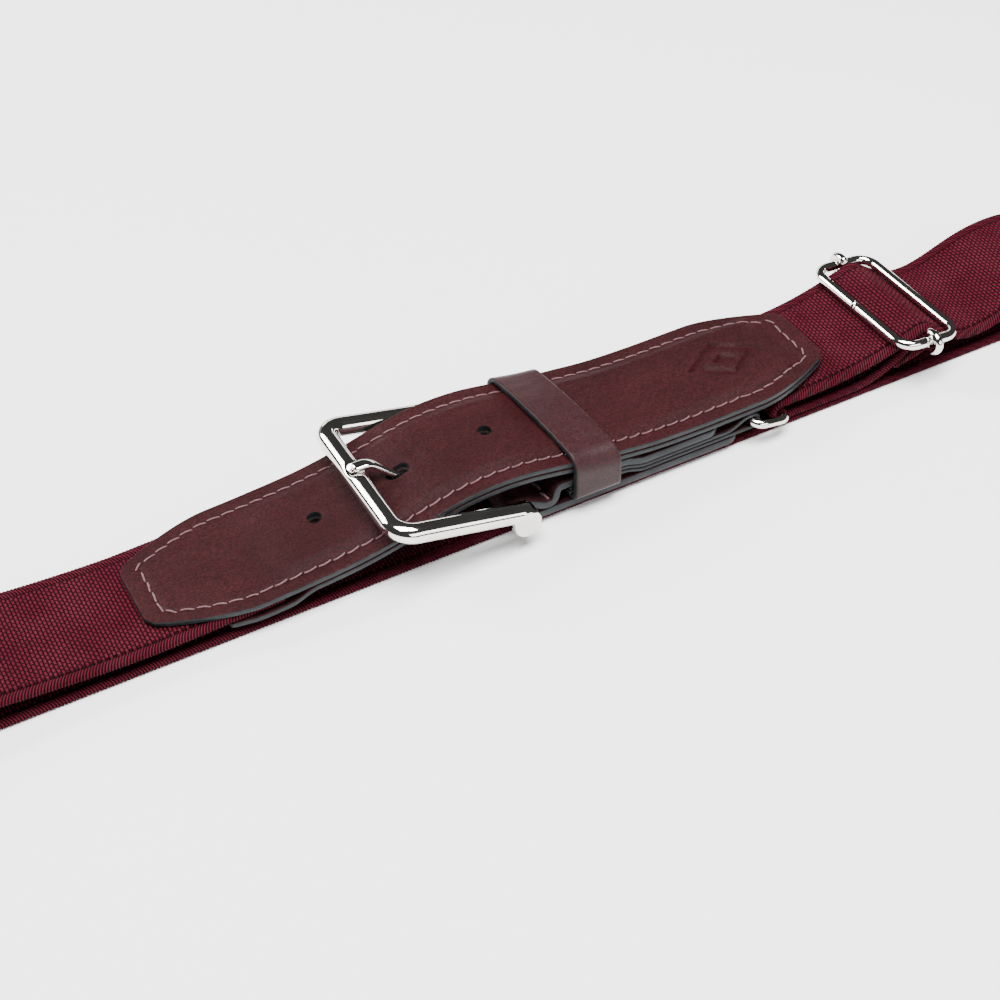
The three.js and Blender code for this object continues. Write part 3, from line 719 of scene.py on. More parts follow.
@dataclass(frozen=True)
class WovenElastic:
    """Ribbed elastic webbing with a corded selvage, on the strap's own weave coordinates, with painted
    shade in its hollows.
    """

    name: str = "woven_elastic"
    yarn: Colour = (0.082, 0.0060, 0.0150)
    worn_yarn: Colour = (0.102, 0.0120, 0.0225)
    # Near-black painted shade for the weave's hollows, the gaps between floats, the fibre grooves and the
    # groove by the cord.
    hollow: Colour = (0.003, 0.0002, 0.0006)
    rib: float = 1.0
    float_length: float = 1.6
    cord_start: float = 15.8
    cord_pitch: float = 0.8

    def build(self) -> bpy.types.Material:
        """Return the material.

        Returns:
            The material.
        """
        s = Shader(self.name)
        uv = s.node("ShaderNodeUVMap", uv_map="weave").outputs[0]
        metric = s.vector("MULTIPLY", uv, (100, 100, 0))
        wander = s.node("ShaderNodeTexNoise", {"Vector": metric, "Scale": 0.35, "Detail": 2.0}).outputs[1]
        shift = s.vector("SUBTRACT", wander, (0.5, 0.5, 0.5))
        slight = s.vector("MULTIPLY", shift, (1.0, 0.42, 0))
        drawn = s.vector("ADD", metric, slight)
        jitter = s.node("ShaderNodeTexNoise", {"Vector": metric, "Scale": 1.1, "Detail": 1.0}).outputs[1]
        loose = s.vector("MULTIPLY", jitter, (0.16, 0.14, 0))
        laid = s.vector("ADD", drawn, loose)
        parts = s.node("ShaderNodeSeparateXYZ", {0: metric})
        across = s.math("ABSOLUTE", parts.outputs[0])
        along = parts.outputs[1]

        weave = s.node("ShaderNodeTexBrick", {
            "Vector": laid, "Color1": (1.0, 1.0, 1.0), "Color2": (0.62, 0.62, 0.62), "Mortar": (0, 0, 0),
            "Scale": 1.0, "Mortar Size": 0.27, "Mortar Smooth": 1.0, "Bias": -0.2,
            "Brick Width": self.float_length, "Row Height": self.rib}, offset=0.5)
        groove = weave.outputs[1]
        fibre_place = s.vector("MULTIPLY", metric, (0.5, 5.5, 1))
        fibre = s.noise(fibre_place, 2.2, 3.0, 0.6)

        slant = s.math("ADD", along, s.math("MULTIPLY", across, 0.55))
        wave = s.math("SINE", s.math("MULTIPLY", slant, 2 * math.pi / self.cord_pitch))
        cord = s.ramp(wave, -1.0, 0.6)
        on_cord = s.ramp(across, self.cord_start - 0.1, self.cord_start + 0.35)
        # Painted shade: a dashed dark line in the groove between the woven middle and the corded selvage.
        from_seam = s.math("ABSOLUTE", s.math("SUBTRACT", across, self.cord_start))
        seam = s.math("SUBTRACT", 1.0, s.ramp(from_seam, 0.12, 0.5))
        dash = s.ramp(s.math("SINE", s.math("MULTIPLY", along, math.pi / self.rib)), -0.7, 0.2, 0.45, 1.0)
        seam_shade = s.math("MULTIPLY", seam, dash)

        height = s.blend(on_cord, s.math("SUBTRACT", 1.0, groove), cord)
        # Depth of the weave: the mask for the painted shade in its hollows.
        hollow = s.math("SUBTRACT", 1.0, height)
        patch = s.noise(metric, 0.09, 2.0)
        tone = s.mix(s.ramp(patch, 0.3, 0.7), self.yarn, self.worn_yarn)
        # Fibre streaks darkened halfway toward the shade colour: partly yarn tone, partly painted shade in
        # the fibre grooves that the bump also cuts.
        lit = s.mix(s.ramp(fibre, 0.25, 0.85), s.mix(0.5, tone, self.hollow), tone)
        # Painted shade in the mortar gaps between the floats; the brick colour also darkens some floats a
        # little, as yarn tone.
        woven = s.mix(s.math("MULTIPLY", s.math("SUBTRACT", 1.0, weave.outputs[0]), 0.45), lit, self.hollow)
        body = s.mix(on_cord, woven, lit)
        # Painted shade that deepens with the weave's depth, on the ribs and between the cord's twists.
        sunk = s.mix(s.math("POWER", hollow, 1.4), body, self.hollow)
        # Base colour: the groove's painted shade laid over the weave's painted shade.
        s.set(Base_Color=s.mix(s.math("MULTIPLY", seam_shade, 0.9), sunk, self.hollow),
              Roughness=s.ramp(fibre, 0.2, 0.8, 0.62, 0.82), Specular_IOR_Level=0.04)
        coarse = s.bump(height, 0.34, 1.0)
        s.set(Normal=s.bump(fibre, 0.10, 0.9, coarse))
        return s.material


@dataclass(frozen=True)
class Leather:
    """Smooth dyed leather with a fine grain; it may show creases across a stretch where it bends."""

    name: str
    dye: Colour
    light: Colour
    shine: float = 0.46
    polish: float = 0.07
    grain: float = 0.10
    crease_from: float = 0.0
    crease_to: float = 0.0

    def build(self) -> bpy.types.Material:
        """Return the material.

        Returns:
            The material.
        """
        s = Shader(self.name)
        fine = s.noise(s.place(), 1500, 5.0, 0.62)
        cell = s.node("ShaderNodeTexVoronoi", {"Vector": s.place(), "Scale": 1250.0},
                      feature="DISTANCE_TO_EDGE").outputs[0]
        cloud = s.noise(s.place((1, 2.5, 1)), 28, 4.0, 0.6)
        streak = s.noise(s.place((9, 60, 9)), 9, 3.0)
        speck = s.ramp(fine, 0.40, 0.60)
        base = s.mix(s.ramp(cloud, 0.3, 0.72), self.dye, self.light)
        deep = tuple(0.35 * c for c in self.dye)
        s.set(Base_Color=s.mix(s.math("MULTIPLY", speck, 0.65), base, deep),
              Roughness=s.blend(s.ramp(streak, 0.3, 0.7), self.shine, self.shine + 0.14),
              Specular_IOR_Level=self.polish)
        pores = s.math("MULTIPLY", s.ramp(cell, 0.0, 0.14), 0.5)
        grain = s.bump(s.math("ADD", pores, fine), self.grain, 0.75)
        if self.crease_to > self.crease_from:
            along = s.node("ShaderNodeSeparateXYZ", {0: s.place()}).outputs[0]
            rise = s.ramp(along, (self.crease_from - 7) * MM, (self.crease_from + 3) * MM)
            fall = s.ramp(along, (self.crease_to - 4) * MM, (self.crease_to + 8) * MM, 1.0, 0.0)
            crease = s.noise(s.place((210, 45, 60)), 1.0, 2.0, 0.45)
            folds = s.math("MULTIPLY", s.ramp(crease, 0.36, 0.62), s.math("MULTIPLY", rise, fall))
            grain = s.bump(folds, 0.34, 0.7, grain)
        s.set(Normal=grain)
        return s.material


@dataclass(frozen=True)
class EdgePaint:
    """Painted and polished cut edge of a ply, streaked along its length."""

    name: str = "edge_paint"
    paint: Colour = (0.007, 0.0085, 0.0095)
    rubbed: Colour = (0.026, 0.031, 0.034)
    shine: float = 0.36
    relief: float = 0.10

    def build(self) -> bpy.types.Material:
        """Return the material.

        Returns:
            The material.
        """
        s = Shader(self.name)
        streak = s.noise(s.place((0.25, 1, 3.2)), 900, 4.0, 0.65)
        blotch = s.noise(s.place(), 160, 3.0)
        share = s.math("MULTIPLY", s.ramp(streak, 0.35, 0.7), s.ramp(blotch, 0.25, 0.75))
        s.set(Base_Color=s.mix(share, self.paint, self.rubbed),
              Roughness=s.blend(s.ramp(streak, 0.3, 0.7), self.shine, self.shine + 0.25),
              Specular_IOR_Level=0.2, Normal=s.bump(streak, self.relief, 0.8))
        return s.material


@dataclass(frozen=True)
class SewingThread:
    """Twisted thread."""

    name: str = "sewing_thread"
    dye: Colour = (0.068, 0.021, 0.026)
    light: Colour = (0.120, 0.048, 0.055)

    def build(self) -> bpy.types.Material:
        """Return the material.

        Returns:
            The material.
        """
        s = Shader(self.name)
        ply = s.noise(s.place((1, 1, 1)), 2600, 2.0)
        s.set(Base_Color=s.mix(s.ramp(ply, 0.35, 0.65), self.dye, self.light), Roughness=0.6,
              Sheen_Weight=0.25, Normal=s.bump(ply, 0.12, 0.8))
        return s.material


@dataclass(frozen=True)
class Nickel:
    """Polished nickel plate with faint polishing haze."""

    name: str = "nickel_plate"
    metal: Colour = (0.80, 0.775, 0.735)
    shade: Colour = (0.70, 0.675, 0.635)
    haze: float = 0.05

    def build(self) -> bpy.types.Material:
        """Return the material.

        Returns:
            The material.
        """
        s = Shader(self.name)
        cloud = s.noise(s.place(), 130, 3.0)
        scratch = s.noise(s.place((1, 9, 1)), 420, 3.0, 0.6)
        s.set(Base_Color=s.mix(s.ramp(cloud, 0.3, 0.7), self.metal, self.shade), Metallic=1.0,
              Roughness=s.blend(s.ramp(scratch, 0.35, 0.75), self.haze, self.haze + 0.05),
              Normal=s.bump(cloud, 0.015, 0.3))
        return s.material


@dataclass(frozen=True)
class FibreBoard:
    """Bonded leather fibre board, the filler inside the billet."""

    name: str = "fibre_board"
    pale: Colour = (0.045, 0.028, 0.024)
    dark: Colour = (0.018, 0.011, 0.010)

    def build(self) -> bpy.types.Material:
        """Return the material.

        Returns:
            The material.
        """
        s = Shader(self.name)
        fibre = s.noise(s.place((1, 3, 1)), 700, 5.0, 0.7)
        s.set(Base_Color=s.mix(s.ramp(fibre, 0.3, 0.7), self.pale, self.dark), Roughness=0.9,
              Normal=s.bump(fibre, 0.1, 0.8))
        return s.material


@dataclass(frozen=True)
class StudioPaper:
    """Pale paper of the studio floor."""

    name: str = "studio_paper"
    pale: Colour = (0.93, 0.93, 0.93)
    shade: Colour = (0.91, 0.91, 0.91)

    def build(self) -> bpy.types.Material:
        """Return the material.

        Returns:
            The material.
        """
        s = Shader(self.name)
        tone = s.noise(s.place(), 3.0, 2.0)
        s.set(Base_Color=s.mix(tone, self.pale, self.shade), Roughness=0.85, Specular_IOR_Level=0.2)
        return s.material


@dataclass
class Palette:
    """Every finish of the belt, built once."""

    webbing: bpy.types.Material = field(init=False)
    billet: bpy.types.Material = field(init=False)
    tab: bpy.types.Material = field(init=False)
    keeper: bpy.types.Material = field(init=False)
    edge: bpy.types.Material = field(init=False)
    rough_edge: bpy.types.Material = field(init=False)
    thread: bpy.types.Material = field(init=False)
    nickel: bpy.types.Material = field(init=False)
    board: bpy.types.Material = field(init=False)
    paper: bpy.types.Material = field(init=False)

    def __post_init__(self) -> None:
        """Build the materials."""
        self.webbing = WovenElastic().build()
        self.billet = Leather("billet_leather", (0.0195, 0.0034, 0.0043), (0.0290, 0.0060, 0.0072),
                              crease_from=-26, crease_to=-8).build()
        self.tab = Leather("tab_leather", (0.018, 0.005, 0.006), (0.026, 0.008, 0.010), shine=0.5).build()
        self.keeper = Leather("keeper_leather", (0.021, 0.0043, 0.0056), (0.029, 0.0070, 0.0086),
                              shine=0.36, polish=0.20, grain=0.06).build()
        self.edge = EdgePaint().build()
        self.rough_edge = EdgePaint("rough_edge", (0.005, 0.0055, 0.006), (0.024, 0.026, 0.028),
                                    shine=0.5, relief=0.35).build()
        self.thread = SewingThread().build()
        self.nickel = Nickel().build()
        self.board = FibreBoard().build()
        self.paper = StudioPaper().build()


# ---------------------------------------------------------------------------------------------
# The stack of plies
# ---------------------------------------------------------------------------------------------


@dataclass(frozen=True)
class Stack:
    """Thicknesses of the belt's layers and the heights that follow from them."""

    gap: float = 0.3
    strap: float = 1.8
    upper: float = 1.7
    lining: float = 1.6
    filler: float = 0.8
    chape: float = 2.2
    tab: float = 1.1
    keeper_skived: float = 1.5
    pivot_x: float = 9.0
    pivot_radius: float = 1.9
    bed_points: tuple[Point2, ...] = (
        (-101, -4.8), (-82, -4), (-70, -3.6), (-52, -2.2), (-42, -0.8), (-32, 1.5), (-24, 3.8),
        (-15, 5.9), (-6, 6.7), (3, 6.4), (12, 5), (22, 3.1), (32, 2), (44, 0.7), (58, 0.3),
        (76, 0.5), (92, 0.5), (106, 0.7))

    @property
    def chape_low_top(self) -> float:
        """Top of the chape's lower ply."""
        return self.strap + self.gap + self.chape

    @property
    def tab_low_top(self) -> float:
        """Top of the ring tab's lower ply."""
        return self.chape_low_top + self.gap + self.tab

    @property
    def tab_high_top(self) -> float:
        """Top of the ring tab's upper ply."""
        return self.tab_low_top + self.gap + self.tab

    @property
    def keeper_lift(self) -> float:
        """How far the keeper's lower run lifts the plies over it."""
        return self.keeper_skived + self.gap

    @property
    def bed_rest(self) -> float:
        """Underside of the billet's upper ply where it lies flat."""
        return self.tab_high_top + 3 * self.gap + self.chape + self.lining

    @property
    def pivot_z(self) -> float:
        """Height of the pivot bar."""
        return self.strap + 2 * self.gap + 2.0 + self.pivot_radius

    @property
    def return_z(self) -> float:
        """Middle of the webbing's return ply."""
        return 1.5 * self.strap + self.gap

    def bed(self, x: np.ndarray | float) -> np.ndarray:
        """Return the height of the upper ply's underside along the belt."""
        return np.interp(x, *self._bed_samples())

    def _bed_samples(self) -> tuple[np.ndarray, np.ndarray]:
        """Return samples of the smooth curve through the bed's points.

        Returns:
            Places along X and the heights there.
        """
        points = np.array(self.bed_points) + (self.pivot_x, self.bed_rest)
        count = len(points)
        samples = []
        for i in range(count - 1):
            p0, p1, p2, p3 = (points[min(max(i + k, 0), count - 1)] for k in (-1, 0, 1, 2))
            for t in np.linspace(0, 1, 12, endpoint=False):
                v0, v1 = (p2 - p0) / 2, (p3 - p1) / 2
                samples.append((2 * p1 - 2 * p2 + v0 + v1) * t**3
                               + (-3 * p1 + 3 * p2 - 2 * v0 - v1) * t**2 + v0 * t + p1)
        samples.append(points[-1])
        line = np.array(samples)
        return line[:, 0], line[:, 1]


# ---------------------------------------------------------------------------------------------
# Webbing
# ---------------------------------------------------------------------------------------------


@dataclass
class Strap:
    """The elastic webbing: one continuous strip, built in pieces divided at the ring and slide."""

    stack: Stack
    palette: Palette
    loop_length: float = 430.0
    width: float = 38.0
    right_height: float = 15.3
    left_height: float = 16.6
    fold_lift: float = 1.1
    billet_left: float = -92.0
    insert: float = 34.0
    ring_x: float = 95.5
    ring_wire: float = 2.6
    slide_x: float = 145.0
    slide_span: float = 20.0
    slide_wire: float = 3.0
    slide_tilt: float = 5.4
    centre_wire: float = 2.6
    centre_z: float = 11.3
    tail: float = 9.0
    rib: float = 1.0
    rib_depth: float = 0.10
    cord_ripple: float = 0.09
    _line: np.ndarray = field(init=False)
    _along: np.ndarray = field(init=False)

    def __post_init__(self) -> None:
        """Lay out the route in steps of half a rib."""
        self._line, self._along = resampled(self.route(), self.rib / 2)

    @property
    def ring_z(self) -> float:
        """Height of the ring's bar that the webbing turns round."""
        return self.stack.return_z + self.ring_wrap

    @property
    def ring_wrap(self) -> float:
        """Radius of the webbing's turn round the ring."""
        return self.ring_wire / 2 + self.stack.gap + self.stack.strap / 2

    def slide_bars(self) -> tuple[np.ndarray, np.ndarray, np.ndarray]:
        """Return the middles of the slide's left, centre and right bars.

        Returns:
            Three points in the XZ plane.
        """
        frame_z = self.centre_z + self.centre_wire / 2 + self.stack.gap + self.slide_wire / 2
        rise = self.slide_span / 2 * math.tan(math.radians(self.slide_tilt))
        reach = self.slide_span / 2
        return (np.array([self.slide_x - reach, frame_z + rise]),
                np.array([self.slide_x, self.centre_z]),
                np.array([self.slide_x + reach, frame_z - rise]))

    def tail_point(self) -> Point2:
        """Return where the sewn tail ends."""
        return self.slide_x - self.tail, self.stack.return_z + self.stack.strap + 1.2

    def route(self) -> np.ndarray:
        """Return the webbing's middle line, from the tail at the slide to the end in the billet.

        Returns:
            Points in the XZ plane, one row each.
        """
        stack = self.stack
        half, gap = stack.strap / 2, stack.gap
        left, centre, right = self.slide_bars()
        wrap = self.centre_wire / 2 + gap + half
        over = wrap + stack.strap + gap
        under = self.slide_wire / 2 + gap + half
        tail = self.tail_point()

        def on(middle: np.ndarray, radius: float, turn: float) -> Point2:
            """Return a point on a circle."""
            return middle[0] + radius * math.cos(turn), middle[1] + radius * math.sin(turn)

        def crossing(a: np.ndarray, ra: float, b: np.ndarray, rb: float, sense: int) -> float:
            """Return the direction of the run that leaves one circle for the far side of another."""
            between = b - a
            return math.atan2(between[1], between[0]) + sense * math.asin((ra + rb) / np.hypot(*between))

        rad = math.radians
        quarter = math.pi / 2
        lead = on(centre, wrap, rad(-50))
        leave = on(centre, wrap, rad(120))
        landing = self.slide_x - 25
        z = stack.return_z
        route = Route(*tail)
        route.bezier((tail[0] + 4, tail[1] + 1.6), (lead[0] - 3, lead[1] - 2.3), lead)
        route.arc(tuple(centre), wrap, rad(-50), rad(120))
        route.bezier((leave[0] - 5, leave[1] - 3), (landing + 12, z), (landing, z))
        route.line(self.ring_x, z)
        route.arc((self.ring_x, self.ring_z), self.ring_wrap, -quarter, -3 * quarter)
        top = self.ring_z + self.ring_wrap
        up = crossing(left, under, centre, over, 1)
        down = crossing(centre, over, right, under, -1)
        enter_turn = rad(-72)
        enter = on(left, under, enter_turn)
        route.bezier((self.ring_x + 14, top), (enter[0] - 14, enter[1] - 14 * math.tan(rad(18))), enter)
        route.arc(tuple(left), under, enter_turn, up - quarter)
        route.arc(tuple(centre), over, up + quarter, down + quarter)
        foot = on(right, under, down - quarter)
        route.line(*foot)

        end = self.loop_length / 2 - half
        right_top, left_top = self.right_height - half, self.left_height - half
        dip = self.slide_x + 20.5
        route.bezier((foot[0] + 3.5, foot[1] + 3.5 * math.tan(down)), (dip - 6, z + 4), (dip, z + 4))
        route.bezier((dip + 11, z + 4), (end - 31, right_top), (end - 15, right_top))
        route.bezier((end - 5, right_top), (end, right_top - 3), (end, right_top / 2))
        lifted = half + self.fold_lift
        route.bezier((end, lifted + 0.5), (end - 12, lifted), (end - 24, half))
        route.line(-end + 30, half)
        route.bezier((-end + 14, lifted), (-end, lifted + 0.5), (-end, left_top / 2))
        route.bezier((-end, left_top - 2.5), (-end + 6, left_top), (-end + 16, left_top))
        start = self.billet_left
        drop = gap + half
        start_z = float(stack.bed(start)) - drop
        route.bezier((-end + 40, left_top), (start - 45, start_z + 0.3), (start, start_z))
        for x in np.arange(2, self.insert + 0.1, 2):
            route.line(start + x, float(stack.bed(start + x)) - drop)
        return route.array()

    def section(self) -> tuple[np.ndarray, np.ndarray, np.ndarray]:
        """Return the corners of the cross-section.

        Returns:
            Places across the strap, half thicknesses with their sign, and a mark that is 1 on the
            selvage's cord and 0 on the woven middle.
        """
        middle = [(y, 0.90) for y in (0, 2.5, 5, 7.5, 10, 12.5, 15)]
        seam = [(15.55, 0.84), (15.85, 0.52), (16.15, 0.62)]
        turns = np.radians((150, 125, 95, 65, 38, 15))
        cord = [(17.5 + 1.5 * math.cos(t), 0.06 + 1.0 * math.sin(t)) for t in turns]
        half = [(y, h, 0.0) for y, h in middle + seam] + [(y, h, 1.0) for y, h in cord]
        right = half + [(self.width / 2, 0.0, 1.0)] + [(y, -h, m) for y, h, m in reversed(half[1:])]
        ring = right + [(-y, -h, m) for y, h, m in half]
        ring += [(-self.width / 2, 0.0, 1.0)] + [(-y, h, m) for y, h, m in reversed(half[1:])]
        values = np.array(ring)
        return values[:, 0], values[:, 1], values[:, 2]

    def strip(self, name: str, first: int, last: int) -> bpy.types.Object:
        """Build the webbing between two stations of the route.

        Args:
            name: Name of the piece.
            first: Its first station.
            last: Its last station.

        Returns:
            The piece, closed at both ends.
        """
        across, half, corded = self.section()
        normals = left_normals(self._line)[first:last + 1]
        line = self._line[first:last + 1]
        along = self._along[first:last + 1]
        ripple = np.where(np.arange(first, last + 1) % 2 == 0, -1.0, 1.0)
        groove = 0.5 - 0.5 * ripple
        body = 1 - (self.rib_depth / 0.9) * groove[:, None] * (1 - corded)[None, :]
        thick = half[None, :] * body * (1 + self.cord_ripple * ripple[:, None] * corded[None, :])
        y = across[None, :] * (1 + 0.004 * ripple[:, None] * corded[None, :])
        x = line[:, 0:1] + normals[:, 0:1] * thick
        z = line[:, 1:2] + normals[:, 1:2] * thick
        rings = np.stack([x, np.broadcast_to(y, x.shape), z], -1)
        n = len(across)
        uv = np.stack(np.broadcast_arrays(across[None, :], along[:, None]), -1).reshape(-1, 2) * 0.01
        points = rings.reshape(-1, 3)
        faces = tube_faces(len(line), n, False)
        return outward(make_object(name, points, faces, [self.palette.webbing], uv=uv, sharp=75))

    def station(self, x: float, after: int) -> int:
        """Return the first rib hollow after a station where the route has passed a place along X.

        Args:
            x: The place along X.
            after: The station to start from.

        Returns:
            The station's index.
        """
        line = self._line
        side = line[after, 0] < x
        passed = next(i for i in range(after, len(line)) if (line[i, 0] < x) != side)
        return 4 * round(passed / 4)

    def build(self, stitches: Tree) -> None:
        """Build the webbing's strips and the stitches across its tail.

        Args:
            stitches: The tree that sews a row.
        """
        line = self._line
        turn = int(np.argmin(line[: len(line) // 4, 0]))
        marks = {
            "wrap": self.station(135, 30),
            "return": self.station(115, 30),
            "bight": self.station(115, turn),
            "rise": self.station(134, turn),
            "bulge": self.station(157, turn),
            "fall": self.station(180, turn),
        }
        end = len(line) - 1
        node = "strap_webbing"
        pieces = [
            ("webbing_wrap", 0, marks["wrap"], None),
            ("webbing_return", marks["wrap"], marks["return"], (Body.BELT, Body.SLIDE, 115, 134)),
            ("webbing_bight", marks["return"], marks["bight"], (Body.BELT, Body.RING, 114, 97)),
            ("webbing_rise", marks["bight"], marks["rise"], (Body.BELT, Body.SLIDE, 115, 133.5)),
            ("webbing_bulge", marks["rise"], marks["bulge"], None),
            ("webbing_fall", marks["bulge"], marks["fall"], (Body.BELT, Body.SLIDE, 180, 157)),
            ("webbing_loop", marks["fall"], end, Body.BELT),
        ]
        for name, first, last, motion in pieces:
            strip = self.strip(name, first, last)
            if isinstance(motion, tuple):
                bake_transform(strip)
            else:
                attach(strip, (motion or Body.SLIDE).value)
            note(strip, "webbing", node)
        self.sew(stitches)

    def sew(self, stitches: Tree) -> None:
        """Sew the row across the tail, on its underside.

        Args:
            stitches: The tree that lays stitches along a line.
        """
        x, z = self.tail_point()
        ys = np.linspace(-self.width / 2 + 3, self.width / 2 - 3, 12)
        under = z - self.stack.strap / 2 - self.stack.gap
        points = np.column_stack([np.full_like(ys, x + 1), ys, np.full_like(ys, under)])
        row = stitches.apply(guide_line("tail_row", points, False), "webbing_stitches", {
            "Pitch": 3.4 * MM, "Length": 2.7 * MM, "Thread": 0.7 * MM, "Slant": 0.12, "Seed": 5,
            "Finish": self.palette.thread})
        dress(row, Body.SLIDE, "thread", "strap_end_stitching")


# ---------------------------------------------------------------------------------------------
# Billet
# ---------------------------------------------------------------------------------------------


@dataclass
class Billet:
    """The punched leather tab: upper ply, filler, lining and the stitching round it."""

    stack: Stack
    palette: Palette
    left: float = -92.0
    length: float = 207.0
    width: float = 40.0
    tip_width: float = 22.0
    taper: float = 28.0
    inset: float = 5.0
    thread: float = 0.47
    filler_width: float = 23.0
    lining_start: float = 19.0
    strap_insert: float = 34.0
    prong_hole_x: float = -15.6
    hole_pitch: float = 25.4
    hole: float = 4.0
    slot_length: float = 6.8
    ornament_x: float = 88.0
    edge_round: float = 0.45

    @property
    def right(self) -> float:
        """The billet's tip."""
        return self.left + self.length

    def half_width(self, x: np.ndarray | float) -> np.ndarray:
        """Return half the billet's width along it.

        Args:
            x: Places along X.

        Returns:
            Half the width at each place.
        """
        reach = np.maximum(np.minimum(x - self.left, self.right - x), 0)
        tip = self.tip_width / 2
        corner = np.where(reach < 3, 3 - np.sqrt(np.maximum(9 - (3 - np.minimum(reach, 3)) ** 2, 0)), 0)
        taper = np.clip(reach / self.taper, 0, 1)
        return tip + (self.width / 2 - tip) * (1 - (1 - taper) ** 1.6) - corner

    def crown(self, x: np.ndarray, y: np.ndarray) -> np.ndarray:
        """Return how far the filler lifts the upper ply, from 0 to 1.

        Args:
            x: Places along X.
            y: Places across the belt.

        Returns:
            The share of the lift at each place.
        """
        first = self.left + self.strap_insert + 8
        last = self.right - 14
        along = smooth(x, first - 12, first + 1) * (1 - smooth(x, last - 1, last + 6))
        edge = self.filler_width / 2
        return along * (1 - smooth(np.abs(y), edge + 0.2, edge + 4.2))

    def sewn_line(self, x: np.ndarray, y: np.ndarray) -> np.ndarray:
        """Return the distance from the row of stitches.

        Args:
            x: Places along X.
            y: Places across the belt.

        Returns:
            The distance at each place.
        """
        first, last = self.left + self.inset, self.right - self.inset
        side = np.abs(y) - (self.half_width(x) - 0.85 * self.inset)
        inside = (x > first - 0.4) & (x < last + 0.4)
        reach = self.half_width(np.array(first)) - 0.85 * self.inset
        end = np.minimum(np.abs(x - first), np.abs(x - last))
        by_end = np.where(np.abs(y) < reach + 0.4, end, 9)
        return np.minimum(np.where(inside, np.abs(side), 9), by_end)

    def ornament(self, x: np.ndarray, y: np.ndarray) -> np.ndarray:
        """Return the depth of the pressed lozenge on the tip, from 0 to 1.

        Args:
            x: Places along X.
            y: Places across the belt.

        Returns:
            The depth at each place.
        """
        reach = np.abs(x - self.ornament_x) / 12.5 + np.abs(y) / 8.5
        outer = 1 - smooth(reach, 0.95, 1.0)
        inner = 1 - smooth(reach, 0.60, 0.65)
        heart = 1 - smooth(reach, 0.28, 0.33)
        return outer - inner + heart

    def relief(self, x: np.ndarray, y: np.ndarray) -> np.ndarray:
        """Return what stitching, ornament, holes and bending add to the top surface, in height.

        Args:
            x: Places along X.
            y: Places across the belt.

        Returns:
            The height at each place.
        """
        off = self.sewn_line(x, y)
        height = -0.30 * ridge(off, 0.75)
        height -= 0.80 * self.ornament(x, y)
        for centre, reach in ((self.prong_hole_x - self.hole_pitch, 0), (self.prong_hole_x - 0.8, 1.4),
                              (self.prong_hole_x + self.hole_pitch, 0)):
            away = np.hypot(np.maximum(np.abs(x - centre) - reach, 0), y)
            height -= 0.22 * ridge(np.maximum(away - self.hole / 2, 0), 0.8)
        for x0, y0, x1, y1, depth in (
                (-25, -17, -20, -3, 0.20), (-21.5, -19, -16.5, -5, 0.26), (-17.5, -19, -12, -6, 0.18),
                (-28, -14, -24, -1, 0.16), (-24, 4, -20, 17, 0.18), (-19, 6, -15, 18, 0.14),
                (-13, -18.5, -7, -9, 0.12), (-32, 3, -29, 17, 0.12)):
            along = np.array([x1 - x0, y1 - y0])
            t = np.clip(((x - x0) * along[0] + (y - y0) * along[1]) / along.dot(along), 0, 1)
            away = np.hypot(x - x0 - t * along[0], y - y0 - t * along[1])
            height -= depth * ridge(away, 0.9) * np.sin(math.pi * np.clip(t, 0.02, 0.98)) ** 0.6
        return height

    def ply(self, name: str, left: float, top: Callable, bottom: Callable, step: float, columns: int
            ) -> bpy.types.Object:
        """Build one ply of the billet.

        Args:
            name: Name of the piece.
            left: Where the ply begins.
            top: Height of its top at places along and across.
            bottom: Height of its underside.
            step: Distance between stations.
            columns: Number of columns across its top.

        Returns:
            The ply with leather on its faces and paint on its edges.
        """
        r = self.edge_round
        corner = 3
        ends = np.array([0, 0.06, 0.16, 0.3, 0.45, 0.8, 1.2, 1.8, 2.4, 3.0])
        body = np.arange(left + 3 + step, self.right - 3 - step / 2, step)
        xs = np.concatenate([left + ends, body, self.right - ends[::-1]])
        turns = np.radians([22, 45, 68])
        share = np.linspace(-1, 1, columns)
        low_share = np.linspace(1, -1, 13)
        rings = []
        for x in xs:
            w = float(self.half_width(x))
            if left != self.left:
                short = max(corner - (x - left), 0)
                w = min(w, self.width / 2 - corner + math.sqrt(max(corner ** 2 - short ** 2, 0)))
            end = min(x - left, self.right - x)
            droop = r - math.sqrt(max(r * r - max(r - end, 0) ** 2, 0))
            y = np.concatenate([
                share * (w - r), (w - r) + r * np.sin(turns), [w, w - 0.12],
                low_share * (w - 0.3), [-w + 0.12, -w], -(w - r) - r * np.sin(turns[::-1])])
            at = np.full_like(y, x)
            high = top(at, y) - droop
            low = bottom(at, y)
            count = len(share)
            z = high.copy()
            rim = r - r * np.cos(turns)
            z[count:count + 3] = high[count:count + 3] - rim
            z[count + 3] = high[count + 3] - r
            z[count + 4] = low[count + 4] + 0.16
            z[count + 5:count + 18] = low[count + 5:count + 18] + min(droop, 0.2)
            z[count + 18] = low[count + 18] + 0.16
            z[count + 19] = high[count + 19] - r
            z[count + 20:] = high[count + 20:] - rim[::-1]
            rings.append(np.column_stack([at, y, z]))
        n = len(rings[0])
        faces = tube_faces(len(rings), n, False)
        rim_columns = set(range(columns + 1, columns + 5)) | set(range(columns + 17, columns + 21))
        slots = [1 if (i % n) in rim_columns else 0 for i in range((len(rings) - 1) * n)] + [1, 1]
        finishes = [self.palette.billet, self.palette.edge]
        return outward(make_object(name, np.concatenate(rings), faces, finishes, slots, sharp=60))

